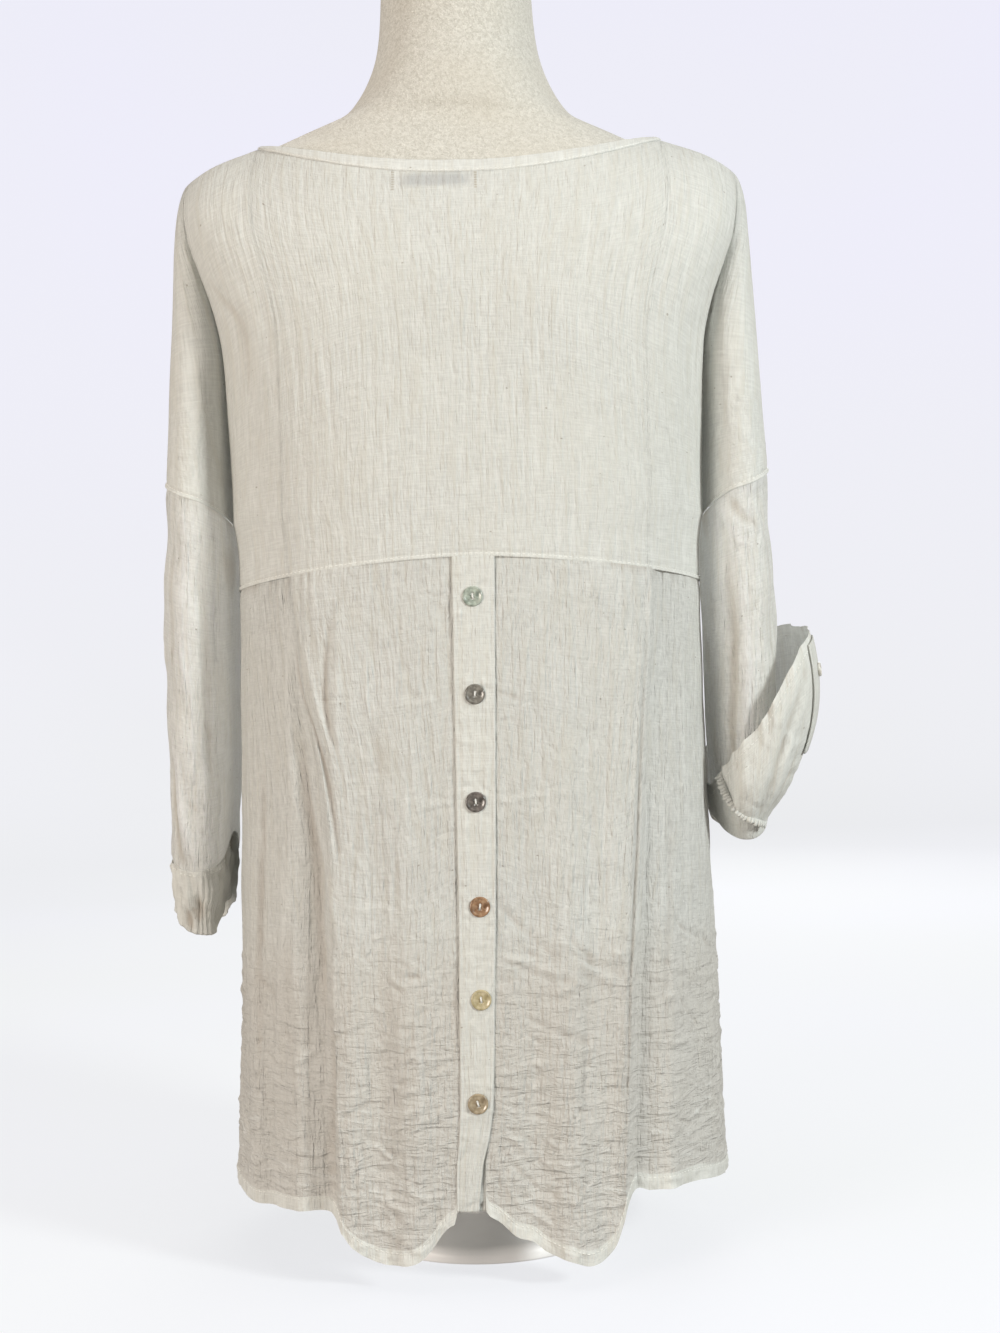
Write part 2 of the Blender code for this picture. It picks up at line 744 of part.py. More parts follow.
def column_of(x):
    """Column that starts at a distance along the shoulder line."""
    return VALLEY_U / (math.pi / 2) * math.asin(x / RIDGE_END / BODY_REACH)


def neck_end_column():
    """Column where the neckline meets the shoulder line."""
    return column_of(NECK_HALF)


def cloth_columns():
    body = [neck_end_column() * share for share in NECK_SHARES]
    body += steps(neck_end_column(), VALLEY_U, 4)[1:]
    half = body + steps(VALLEY_U, 1.0, ARM_COUNT)[1:]
    return [-u for u in reversed(half)] + half[1:]


def upper_keep(columns, rows_above):
    """Leave out the sleeve columns below the dropped seam."""
    def keep(r, c):
        middle = (columns[c] + columns[c + 1]) / 2
        return r < rows_above or abs(middle) < VALLEY_U
    return keep


def binding_level(point, u):
    """Level where a column has come down by the binding's depth."""
    u = min(abs(u), neck_end_column())
    top = np.array(point(u, 0.0))
    low = 0.0
    high = 0.4
    for _ in range(30):
        middle = (low + high) / 2
        if np.linalg.norm(np.array(point(u, middle)) - top) < BINDING_DEPTH:
            low = middle
        else:
            high = middle
    return low


def panel_rows(point, columns, upper, lower):
    """Rows of a panel; upper levels start below the neck binding."""
    starts = [binding_level(point, u) for u in columns]
    rows = [[point(u, start * share) for u, start in zip(columns, starts)] for share in (0.0, 1.0)]
    for level in upper:
        rows.append([point(u, mix(start, 1.0, level)) for u, start in zip(columns, starts)])
    return rows + sample(point, columns, lower)


def make_back_yoke(material):
    columns = cloth_columns()
    rows = panel_rows(yoke_point, columns, UPPER_LEVELS, (1.5, 2.0))
    above = len(UPPER_LEVELS) + 1
    wall("back_yoke", material, rows, keep=upper_keep(columns, above),
         guide=valley_guide(columns, above, -1), flat=square_middle(-1))


def make_front_panel(material):
    columns = cloth_columns()
    lower = (1.15, 1.32, 1.50, 1.68, 1.84, 1.98, 2.0)
    rows = panel_rows(front_point, columns, UPPER_LEVELS, lower)
    above = len(UPPER_LEVELS) + 1
    thick = [WALL] * (len(rows) - 2) + [HEM_WALL] * 2
    wall("front_panel", material, rows, thickness=thick, keep=upper_keep(columns, above),
         guide=valley_guide(columns, above, 1), flat=square_middle(1))


def make_skirt(side, name, material):
    outer = [PLEAT_U + 0.02, PLEAT_U + 0.05] + steps(PLEAT_U + 0.10, 1.0, 7)
    columns = steps(0.0, PLEAT_U, 8) + outer
    rows = sample(lambda u, v: skirt_point(side, u, v), columns, SKIRT_LEVELS)
    wall(name, material, rows, thickness=hem_walls(), flat=square_middle(-1))


def hem_walls():
    return [WALL] * (len(SKIRT_LEVELS) - 2) + [HEM_WALL] * 2


def make_plackets(material):
    columns = steps(0.0, 1.0, 2)
    over = sample(lambda u, v: placket_point(u, v, 0), columns, SKIRT_LEVELS)
    wall("placket_over", material, over)
    under = sample(lambda u, v: placket_point(u, v, PLACKET_LAP), columns, SKIRT_LEVELS)
    sunk = [-(depth + 2 * SEAM_GAP) for depth in hem_walls()]
    wall("placket_under", material, under, lift=sunk)


def make_bindings(material):
    limit = neck_end_column()
    columns = [u for u in cloth_columns() if abs(u) <= limit + 1e-9]
    for name, point, facing in (("back", yoke_point, -1), ("front", front_point, 1)):
        starts = [binding_level(point, u) for u in columns]
        rows = [[point(u, start * share) for u, start in zip(columns, starts)]
                for share in (0.0, 1.0)]
        wall(f"{name}_neck_binding", material, rows, lift=SEAM_GAP + BINDING_WALL,
             thickness=BINDING_WALL, flat=square_middle(facing))


def make_label(material):
    """Blank label that hangs inside the back neck, clear of the yoke."""
    rows = []
    for level in (0.0, 0.5, 1.0):
        row = []
        for share in steps(1.0, -1.0, 6):
            x = LABEL_CENTRE + share * LABEL_HALF_WIDTH
            u = math.copysign(column_of(abs(x)), x)
            crest, start = column_top(u, NECK_BACK)
            drop = (LABEL_DROP + LABEL_DEPTH * level) / DOME_HEIGHT
            angle = math.acos(math.cos(start) - drop)
            row.append(yoke_point(u, DOME_LEVEL * (angle - start) / (math.pi / 2 - start)))
        rows.append(row)
    lift = -(WALL + 2 * SEAM_GAP)
    wall("blank_label", material, rows, lift=lift, thickness=LABEL_WALL)


def make_sleeves(material, cuff_material):
    around = [n / TUBE_COUNT for n in range(TUBE_COUNT)]
    levels = steps(0.0, 1.0, 5)
    rows = sample(left_sleeve_point, around, levels)
    wall("left_sleeve", material, rows, axis_x=-ARM_AXIS, closed=True)
    gathers = [n / (2 * TUBE_COUNT) for n in range(2 * TUBE_COUNT)]
    rows = sample(left_cuff_point, gathers, (0.0, 0.35, 0.70, 1.0))
    wall("left_cuff", cuff_material, rows, axis_x=-ARM_AXIS, closed=True)
    rows = sample(right_sleeve_point, around, levels)
    wall("right_sleeve", material, rows, axis_x=ARM_AXIS, closed=True)
    rows = sample(roll_point, around, steps(0.0, 1.0, 6))
    wall("right_turned_cuff", cuff_material, rows, axis_x=ARM_AXIS, closed=True)


def make_tab(material):
    rows = sample(tab_point, steps(0.0, 1.0, 4), steps(0.0, 1.0, 6))
    lift = SEAM_GAP + TAB_WALL
    wall("right_tab", material, rows, axis_x=ARM_AXIS, lift=lift, thickness=TAB_WALL)


def lathe(name, material, outline, segments):
    """Closed turned solid from (radius, height) pairs that start and end on the axis."""
    points = []
    faces = []
    rings = []
    for radius, height in outline:
        if radius == 0:
            rings.append([len(points)] * segments)
            points.append((0.0, 0.0, height))
        else:
            rings.append(list(range(len(points), len(points) + segments)))
            for n in range(segments):
                angle = 2 * math.pi * n / segments
                points.append((radius * math.cos(angle), radius * math.sin(angle), height))
    for low, high in zip(rings, rings[1:]):
        for n in range(segments):
            after = (n + 1) % segments
            corners = [low[n], low[after], high[after], high[n]]
            unique = list(dict.fromkeys(corners))
            faces.append(tuple(unique))
    mesh = bpy.data.meshes.new(name)
    mesh.from_pydata(points, [], faces)
    return finish_object(name, mesh, material)


def button_outline(radius, thickness):
    return ((0.0, 0.0), (radius * 0.92, 0.0), (radius, thickness * 0.5),
            (radius * 0.90, thickness), (radius * 0.60, thickness * 0.72), (0.0, thickness * 0.68))


def place_on(thing, centre, normal):
    """Stand a turned piece on a surface point, its axis along the normal."""
    direction = Vector(normal)
    thing.rotation_euler = direction.to_track_quat("Z", "Y").to_euler()
    thing.location = Vector(centre) + direction * SEAM_GAP * 1.6


def cut_holes(button, pitch, radius):
    """Two sewing holes, one above the other."""
    for number, sign in enumerate((-1, 1)):
        bpy.ops.mesh.primitive_cylinder_add(vertices=6, radius=radius, depth=HOLE_DEPTH)
        cutter = bpy.context.object
        cutter.name = f"{button.name}_cutter_{number}"
        cutter.parent = button
        cutter.location = (0.0, sign * pitch / 2, 0.0)
        cutter.rotation_euler = (0.0, 0.0, HOLE_TURN)
        cutter.hide_render = True
        cutter.display_type = "WIRE"
        hole = button.modifiers.new(f"hole_{number}", "BOOLEAN")
        hole.operation = "DIFFERENCE"
        hole.object = cutter


def surface_frame(point, u, v, step=0.01):
    """Point and outward normal of a surface function at (u, v)."""
    centre = np.array(point(u, v))
    along = np.array(point(u + step, v)) - np.array(point(u - step, v))
    down = np.array(point(u, v + step)) - np.array(point(u, v - step))
    normal = np.cross(along, down)
    return centre, normal / np.linalg.norm(normal)


def make_buttons(material):
    outline = button_outline(BUTTON_RADIUS, BUTTON_THICKNESS)
    for number, (x, z) in enumerate(zip(BUTTON_X, BUTTON_HEIGHTS), start=1):
        button = lathe(f"button_{number}", material, outline, 16)
        seats = [back_surface(BUTTON_SEAT_X, 1, z + step * BUTTON_SEAT_SPAN) for step in (-1, 0, 1)]
        normal = np.array((0.0, -1.0, (seats[2] - seats[0]) / (2 * BUTTON_SEAT_SPAN)))
        normal /= np.linalg.norm(normal)
        place_on(button, (x, seats[1], z), normal)
        cut_holes(button, BUTTON_HOLE_PITCH, BUTTON_HOLE_RADIUS)


def make_tab_button(material):
    outline = button_outline(TAB_BUTTON_RADIUS, BUTTON_THICKNESS)
    button = lathe("tab_button", material, outline, 16)
    centre, normal = surface_frame(tab_point, 0.5, 0.72)
    if normal[0] < 0:
        normal = -normal
    centre = centre + normal * (TAB_WALL + SEAM_GAP)
    place_on(button, centre, normal)


def ridge_reach(z):
    """Half width of the form's shoulder at a height, under the cloth's ridge."""
    low = 0.0
    high = RIDGE_END
    for _ in range(40):
        middle = (low + high) / 2
        if ridge(middle) - SHOULDER_CLEARANCE > z:
            low = middle
        else:
            high = middle
    return low


def form_ring(half, back, front, z, sharpness, segments=24):
    row = []
    for n in range(segments):
        angle = 2 * math.pi * n / segments
        depth = back if math.sin(angle) < 0 else front
        x = half * math.copysign(abs(math.cos(angle)) ** FORM_SHARPNESS, math.cos(angle))
        y = depth * math.copysign(abs(math.sin(angle)) ** sharpness, math.sin(angle))
        row.append((x, y, z - RIGHT_DROP * max(x, 0.0) * read_table(DROP, DROP_COLUMNS, "share", z)))
    return row


def form_rings():
    rows = [form_ring(*row[1:], row[0], FORM_SHARPNESS) for row in FORM]
    for z, back, front, sharpness in SHOULDER:
        rows.append(form_ring(ridge_reach(z), back, front, z, sharpness))
    for n, (z, radius) in enumerate(NECK, start=1):
        share = min(n / NECK_BASE_RINGS, 1.0)
        back, front = (radius * mix(ratio, NECK_DEPTH_RATIO, share) for ratio in NECK_BASE_RATIOS)
        rows.append(form_ring(radius, back, front, z, 1.0))
    return rows


def make_form(material):
    rows = form_rings()
    count = len(rows[0])
    points = [point for row in rows for point in row]
    faces = grid_faces(len(rows), count, True, None)
    faces.append(tuple(range(count)))
    faces.append(tuple(range(len(points) - count, len(points))))
    mesh = bpy.data.meshes.new("form_torso")
    mesh.from_pydata(points, [], faces)
    finish_object("form_torso", mesh, material)


def make_stand(cap_material, metal):
    neck_top, neck_radius = NECK[-1]
    cap = ((0.0, 0.0), (neck_radius, 0.0), (neck_radius + 0.001, 0.002),
           (neck_radius, CAP_THICKNESS - 0.002), (neck_radius - 0.003, CAP_THICKNESS),
           (0.0, CAP_THICKNESS))
    piece = lathe("form_neck_cap", cap_material, cap, 32)
    piece.location = (0.0, 0.0, neck_top + SEAM_GAP)
    foot = FORM[0][0]
    pole = ((0.0, 0.0), (POLE_RADIUS, 0.0), (POLE_RADIUS, foot - BASE_THICKNESS - 2 * SEAM_GAP),
            (0.0, foot - BASE_THICKNESS - 2 * SEAM_GAP))
    piece = lathe("stand_pole", metal, pole, 24)
    piece.location = (0.0, 0.0, BASE_THICKNESS + SEAM_GAP)
    base = ((0.0, 0.0), (BASE_RADIUS, 0.0), (BASE_RADIUS, BASE_THICKNESS * 0.5),
            (BASE_RADIUS - 0.006, BASE_THICKNESS), (0.0, BASE_THICKNESS))
    lathe("stand_base", metal, base, 48)


def new_material(name, colour, roughness, metallic):
    material = bpy.data.materials.new(name)
    material.use_nodes = True
    shader = material.node_tree.nodes["Principled BSDF"]
    shader.inputs["Base Color"].default_value = (*colour, 1.0)
    shader.inputs["Roughness"].default_value = roughness
    shader.inputs["Metallic"].default_value = metallic
    return material


def main():
    for thing in list(bpy.data.objects):
        bpy.data.objects.remove(thing)
    linen = new_material("linen", (0.76, 0.74, 0.67), 0.85, 0.0)
    double_linen = new_material("double_linen", (0.82, 0.81, 0.76), 0.85, 0.0)
    label = new_material("label_tape", (0.80, 0.80, 0.78), 0.75, 0.0)
    shell = new_material("shell", (0.45, 0.42, 0.36), 0.25, 0.0)
    flock = new_material("flock", (0.80, 0.78, 0.72), 0.95, 0.0)
    metal = new_material("painted_metal", (0.78, 0.78, 0.76), 0.4, 0.6)
    make_back_yoke(linen)
    make_front_panel(linen)
    make_skirt(-1, "back_skirt_left", linen)
    make_skirt(1, "back_skirt_right", linen)
    make_plackets(double_linen)
    make_bindings(double_linen)
    make_label(label)
    make_sleeves(linen, double_linen)
    make_tab(double_linen)
    make_buttons(shell)
    make_tab_button(shell)
    make_form(flock)
    make_stand(flock, metal)


main()
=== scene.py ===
"""Looks of a linen tunic top that hangs, back to the viewer, on a dress form.

Metres, +Z up; the back of the tunic faces -Y. The shape tables and surface
functions are those of the solids, so each cloth shell lies on its solid.
"""
import bisect
import math

import bmesh
import bpy
import numpy as np
from mathutils import Matrix, Vector


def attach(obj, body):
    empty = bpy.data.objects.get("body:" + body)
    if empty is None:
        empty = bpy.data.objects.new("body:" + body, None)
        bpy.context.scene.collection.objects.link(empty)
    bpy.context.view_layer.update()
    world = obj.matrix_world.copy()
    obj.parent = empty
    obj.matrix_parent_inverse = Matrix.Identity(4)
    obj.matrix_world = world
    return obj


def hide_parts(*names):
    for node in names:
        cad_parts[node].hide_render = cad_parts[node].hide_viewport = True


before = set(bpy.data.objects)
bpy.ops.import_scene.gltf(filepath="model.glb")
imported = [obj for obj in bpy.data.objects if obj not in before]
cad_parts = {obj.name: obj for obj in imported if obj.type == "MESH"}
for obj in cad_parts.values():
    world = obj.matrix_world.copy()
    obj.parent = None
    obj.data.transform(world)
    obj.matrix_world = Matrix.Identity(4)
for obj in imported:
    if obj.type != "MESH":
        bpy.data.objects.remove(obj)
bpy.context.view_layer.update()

FINE = 2
SEED = 11

# ---------------------------------------------------------------- shape
RIDGE_COLUMNS = ("x", "height")
RIDGE = (
    (0.000, 0.902),
    (0.060, 0.899),
    (0.095, 0.893),
    (0.135, 0.880),
    (0.157, 0.872),
    (0.190, 0.860),
    (0.212, 0.846),
    (0.2225, 0.836),
)
DOME_HEIGHT = 0.185
DOME_POWER = 1.2
DOME_LEVEL = 0.55
BODY_COLUMNS = ("height", "half_width", "back", "front")
BODY = (
    (0.000, 0.196, 0.160, 0.152),
    (0.130, 0.192, 0.156, 0.150),
    (0.265, 0.188, 0.151, 0.147),
    (0.400, 0.185, 0.147, 0.144),
    (0.515, 0.1835, 0.143, 0.142),
    (0.567, 0.1840, 0.141, 0.142),
    (0.700, 0.1840, 0.139, 0.142),
    (0.760, 0.1900, 0.138, 0.133),
    (0.850, 0.2050, 0.137, 0.115),
)
BODY_ROUNDNESS = 2.5
ARM_COLUMNS = ("height", "inner", "outer", "depth", "closing")
ARM = (
    (0.567, 0.1875, 0.2400, 0.072, 0.984),
    (0.605, 0.1870, 0.2390, 0.073, 0.93),
    (0.645, 0.1860, 0.2360, 0.075, 0.82),
    (0.700, 0.1840, 0.2335, 0.076, 0.62),
    (0.732, 0.1880, 0.2315, 0.078, 0.48),
    (0.760, 0.1960, 0.2300, 0.080, 0.34),
    (0.785, 0.2035, 0.2290, 0.084, 0.20),
    (0.815, 0.2090, 0.2275, 0.092, 0.08),
    (0.845, 0.2120, 0.2225, 0.105, 0.00),
)
ARMPIT = 0.567
ARM_SEAM_RISE = 0.038
ARMPIT_EASE = 0.02
ARMPIT_REACH = 0.034
ARM_FLATNESS = 0.80
VALLEY_U = 0.68
NECK_HALF = 0.157
NECK_BACK = 0.833
NECK_FRONT = 0.775
NECK_CURVE = 2.2
BINDING_DEPTH = 0.009
BINDING_LIFT = 0.0013
RIDGE_END = 0.2225
BODY_REACH = 0.945
EMPIRE_CENTRE = 0.532
EMPIRE_SIDE = 0.515
FRONT_HEM = 0.026
FRONT_HEM_SIDE = 0.052
HEM_COLUMNS = ("x", "left", "right")
HEM = (
    (0.000, 0.058, 0.058),
    (0.013, 0.053, 0.050),
    (0.026, 0.045, 0.039),
    (0.037, 0.031, 0.035),
    (0.048, 0.0225, 0.027),
    (0.065, 0.0195, 0.021),
    (0.080, 0.0225, 0.0165),
    (0.097, 0.034, 0.027),
    (0.110, 0.052, 0.062),
    (0.125, 0.054, 0.0625),
    (0.150, 0.052, 0.062),
    (0.175, 0.051, 0.058),
    (0.196, 0.057, 0.050),
)
FLAP_END = 0.058
PLEAT_COLUMNS = ("height", "left", "right", "step")
PLEAT = (
    (0.000, 0.101, 0.105, 0.017),
    (0.065, 0.103, 0.106, 0.016),
    (0.205, 0.106, 0.114, 0.013),
    (0.355, 0.108, 0.125, 0.010),
    (0.435, 0.122, 0.131, 0.009),
    (0.515, 0.131, 0.138, 0.005),
)
PLEAT_RIDGE_SHARE = 0.35
PLEAT_RIDGE_WIDTH = 0.030
PLEAT_DROP_WIDTH = 0.006
PLEAT_TROUGH_WIDTH = 0.026
PLEAT_U = 0.52
SIDE_EASE = 0.02
FOLD_GROWTH = 1.4
FOLDS = (
    (-1, 0.047, 0.013, 0.0042, 0.42),
    (-1, 0.074, 0.012, -0.0040, 0.50),
    (-1, 0.136, 0.010, 0.0050, 0.51),
    (-1, 0.157, 0.009, -0.0045, 0.50),
    (-1, 0.172, 0.008, 0.0040, 0.47),
    (1, 0.040, 0.013, -0.0036, 0.36),
    (1, 0.066, 0.014, 0.0046, 0.48),
    (1, 0.092, 0.011, -0.0040, 0.50),
    (1, 0.140, 0.010, 0.0048, 0.49),
    (1, 0.163, 0.010, -0.0042, 0.46),
)
FRONT_FOLDS = (
    (-1, 0.120, 0.020, 0.0060, 0.55),
    (-1, 0.070, 0.022, -0.0050, 0.42),
    (-1, 0.022, 0.020, 0.0045, 0.36),
    (1, 0.032, 0.022, -0.0050, 0.40),
    (1, 0.082, 0.022, 0.0055, 0.48),
    (1, 0.128, 0.018, -0.0055, 0.55),
)
PLACKET_COLUMNS = ("height", "left", "right")
PLACKET = (
    (0.040, -0.018, -0.004),
    (0.090, -0.017, 0.001),
    (0.110, -0.015, 0.006),
    (0.135, -0.0135, 0.0095),
    (0.210, -0.0125, 0.0125),
    (0.277, -0.0114, 0.0147),
    (0.400, -0.0110, 0.0175),
    (0.532, -0.0105, 0.0200),
)
PLACKET_LAP = 0.003
RIGHT_FLAP_SHIFT = 0.006
SPLIT_START = 0.114
SPLIT_FADE = 0.060
BUTTON_HEIGHTS = (0.5026, 0.4313, 0.3530, 0.2770, 0.2100, 0.1355)
BUTTON_X = (0.0037, 0.0037, 0.0025, 0.0037, 0.0030, -0.0010)
BUTTON_RADIUS = 0.0075
SLEEVE_COLUMNS = ("height", "inner", "outer", "back", "front")
LEFT_SLEEVE = (
    (0.240, 0.2060, 0.2370, 0.046, 0.052),
    (0.270, 0.2010, 0.2390, 0.052, 0.057),
    (0.310, 0.1960, 0.2425, 0.060, 0.063),
    (0.370, 0.1915, 0.2415, 0.066, 0.067),
    (0.440, 0.1895, 0.2425, 0.070, 0.070),
    (0.520, 0.1885, 0.2425, 0.072, 0.072),
    (0.567, 0.1875, 0.2400, 0.072, 0.072),
    (0.605, 0.1870, 0.2390, 0.073, 0.073),
)
RIGHT_SLEEVE = (
    (0.310, 0.1945, 0.2290, 0.055, 0.055),
    (0.330, 0.1935, 0.2320, 0.057, 0.057),
    (0.370, 0.1910, 0.2370, 0.064, 0.064),
    (0.430, 0.1895, 0.2420, 0.070, 0.070),
    (0.500, 0.1885, 0.2430, 0.072, 0.072),
    (0.567, 0.1875, 0.2400, 0.072, 0.072),
    (0.605, 0.1870, 0.2390, 0.073, 0.073),
)
LEFT_END_COLUMNS = ("angle", "sleeve", "cuff")
LEFT_END = (
    (0.0, 0.305, 0.268),
    (50.0, 0.300, 0.254),
    (95.0, 0.296, 0.247),
    (140.0, 0.302, 0.250),
    (175.0, 0.322, 0.272),
    (205.0, 0.306, 0.262),
    (270.0, 0.294, 0.246),
    (360.0, 0.305, 0.268),
)
CUFF_WAVES = 15
ROLL_COLUMNS = ("angle", "fold", "edge", "stand_off")
ROLL = (
    (0.0, 0.326, 0.478, 0.0340),
    (45.0, 0.318, 0.458, 0.0300),
    (90.0, 0.313, 0.396, 0.0170),
    (135.0, 0.318, 0.364, 0.0080),
    (180.0, 0.327, 0.352, 0.0032),
    (225.0, 0.320, 0.368, 0.0080),
    (270.0, 0.314, 0.405, 0.0150),
    (315.0, 0.320, 0.474, 0.0250),
    (360.0, 0.326, 0.478, 0.0340),
)
ROLL_PEAK = 0.66
ROLL_REACH = 1.45
ROLL_NEAR = 0.0020
TAB_CENTRE_ANGLE = 22.0
TAB_HALF_ANGLE = 12.0
TAB_START = 0.40
TAB_END = 0.97
LABEL_CENTRE = -0.018
LABEL_HALF_WIDTH = 0.031
LABEL_DROP = 0.008
LABEL_DEPTH = 0.017
LABEL_SEEN = 0.8165
FORM = (
    (0.225, 0.146, 0.098, 0.098),
    (0.262, 0.156, 0.112, 0.108),
    (0.310, 0.158, 0.116, 0.108),
    (0.370, 0.142, 0.098, 0.096),
    (0.435, 0.124, 0.082, 0.086),
    (0.500, 0.134, 0.092, 0.098),
    (0.570, 0.152, 0.108, 0.124),
    (0.640, 0.162, 0.118, 0.130),
    (0.710, 0.172, 0.120, 0.119),
    (0.765, 0.184, 0.112, 0.111),
    (0.805, 0.194, 0.101, 0.096),
    (0.828, 0.198, 0.093, 0.084),
    (0.843, 0.193, 0.087, 0.074),
)
SHOULDER = (
    (0.849, 0.084, 0.068, 1.40),
    (0.855, 0.081, 0.067, 1.40),
    (0.8595, 0.079, 0.066, 1.40),
    (0.864, 0.077, 0.065, 1.40),
    (0.8685, 0.075, 0.064, 1.40),
    (0.873, 0.073, 0.064, 1.30),
    (0.878, 0.072, 0.064, 1.20),
    (0.884, 0.071, 0.065, 1.10),
)
FORM_SHARPNESS = 0.92
SHOULDER_CLEARANCE = 0.0021
NECK = (
    (0.889, 0.0985),
    (0.896, 0.0900),
    (0.909, 0.0795),
    (0.926, 0.0710),
    (0.942, 0.0655),
    (0.965, 0.0620),
    (1.000, 0.0605),
)
NECK_DEPTH_RATIO = 0.95
NECK_BASE_RATIOS = (0.678, 0.593)
RIGHT_DROP = 0.04
DROP_COLUMNS = ("height", "share")
DROP = (
    (0.800, 0.0),
    (0.849, 1.0),
    (0.900, 1.0),
    (0.942, 0.0),
)

# Creases: depth (above 0 a ridge), width, and the path as
# (x, z) on the back of the tunic
YOKE_CREASES = (
    (-0.0016, 0.0050, ((-0.195, 0.758), (-0.184, 0.739), (-0.169, 0.718), (-0.162, 0.689), (-0.161, 0.656))),
    (0.0010, 0.0060, ((-0.185, 0.758), (-0.171, 0.739), (-0.157, 0.717), (-0.152, 0.685), (-0.153, 0.648))),
    (-0.0012, 0.0040, ((0.202, 0.781), (0.190, 0.733), (0.180, 0.691), (0.174, 0.640))),
    (0.0009, 0.0040, ((0.206, 0.769), (0.195, 0.720), (0.188, 0.674), (0.182, 0.626))),
    (0.0004, 0.0024, ((-0.151, 0.692), (-0.148, 0.627), (-0.151, 0.561))),
    (-0.0004, 0.0022, ((-0.141, 0.721), (-0.140, 0.634), (-0.144, 0.547))),
    (0.0003, 0.0020, ((-0.129, 0.721), (-0.127, 0.648), (-0.129, 0.597))),
    (-0.0004, 0.0026, ((-0.120, 0.633), (-0.118, 0.575), (-0.117, 0.531))),
    (0.0004, 0.0022, ((-0.105, 0.698), (-0.104, 0.625), (-0.107, 0.560))),
    (0.0003, 0.0024, ((-0.095, 0.654), (-0.093, 0.596), (-0.097, 0.534))),
    (-0.0003, 0.0024, ((-0.082, 0.719), (-0.080, 0.661), (-0.082, 0.618))),
    (0.0004, 0.0020, ((-0.050, 0.712), (-0.043, 0.693), (-0.036, 0.675))),
    (0.0003, 0.0018, ((-0.115, 0.667), (-0.083, 0.663), (-0.049, 0.660))),
    (-0.0005, 0.0060, ((0.029, 0.778), (0.026, 0.717), (0.024, 0.651))),
    (0.0008, 0.0035, ((0.177, 0.813), (0.191, 0.804), (0.200, 0.795))),
    (-0.0006, 0.0030, ((0.168, 0.809), (0.183, 0.796), (0.195, 0.781))),
    (0.0004, 0.0030, ((-0.179, 0.813), (-0.185, 0.800), (-0.190, 0.784))),
    (-0.0004, 0.0030, ((-0.165, 0.814), (-0.172, 0.797), (-0.179, 0.778))),
    (0.0003, 0.0030, ((0.113, 0.627), (0.117, 0.577), (0.114, 0.526))),
    (-0.0003, 0.0040, ((0.082, 0.694), (0.076, 0.628), (0.078, 0.570))),
    (0.0003, 0.0030, ((-0.011, 0.623), (-0.004, 0.572), (-0.007, 0.537))),
)
LEFT_CREASES = (
    (0.0014, 0.0030, ((-0.142, 0.517), (-0.141, 0.509), (-0.140, 0.498))),
    (0.0018, 0.0050, ((-0.134, 0.517), (-0.135, 0.474), (-0.135, 0.430), (-0.133, 0.372), (-0.131, 0.314))),
    (-0.0022, 0.0026, ((-0.131, 0.474), (-0.127, 0.444), (-0.121, 0.419), (-0.113, 0.395), (-0.105, 0.357),
                       (-0.099, 0.309))),
    (0.0013, 0.0026, ((-0.123, 0.473), (-0.118, 0.444), (-0.111, 0.415), (-0.103, 0.387), (-0.098, 0.357))),
    (-0.0015, 0.0032, ((-0.101, 0.495), (-0.105, 0.466), (-0.107, 0.429), (-0.103, 0.386))),
    (0.0011, 0.0034, ((-0.094, 0.509), (-0.097, 0.458), (-0.098, 0.407), (-0.093, 0.356))),
    (0.0014, 0.0022, ((-0.120, 0.365), (-0.115, 0.343), (-0.111, 0.321), (-0.103, 0.273), (-0.100, 0.240))),
    (-0.0018, 0.0060, ((-0.126, 0.401), (-0.124, 0.357), (-0.118, 0.306), (-0.115, 0.248), (-0.112, 0.183))),
    (-0.0024, 0.0070, ((-0.108, 0.204), (-0.107, 0.153), (-0.110, 0.103), (-0.109, 0.050))),
    (0.0016, 0.0060, ((-0.140, 0.343), (-0.143, 0.271), (-0.150, 0.183), (-0.154, 0.082))),
    (-0.0016, 0.0060, ((-0.158, 0.387), (-0.161, 0.315), (-0.166, 0.242), (-0.166, 0.155))),
    (0.0013, 0.0050, ((-0.129, 0.241), (-0.130, 0.169), (-0.130, 0.081))),
    (0.0009, 0.0040, ((-0.092, 0.204), (-0.093, 0.146), (-0.096, 0.073), (-0.098, 0.037))),
    (0.0007, 0.0026, ((-0.072, 0.472), (-0.077, 0.414), (-0.074, 0.356))),
    (-0.0007, 0.0026, ((-0.060, 0.356), (-0.058, 0.297), (-0.064, 0.239))),
    (0.0006, 0.0024, ((-0.091, 0.273), (-0.070, 0.277), (-0.049, 0.272))),
    (-0.0008, 0.0026, ((-0.089, 0.118), (-0.066, 0.102), (-0.040, 0.094), (-0.018, 0.100))),
    (0.0009, 0.0024, ((-0.086, 0.074), (-0.065, 0.062), (-0.041, 0.060), (-0.025, 0.071))),
    (-0.0008, 0.0024, ((-0.079, 0.153), (-0.056, 0.141), (-0.030, 0.141))),
    (0.0008, 0.0024, ((-0.086, 0.189), (-0.060, 0.180), (-0.029, 0.183), (-0.017, 0.189))),
)
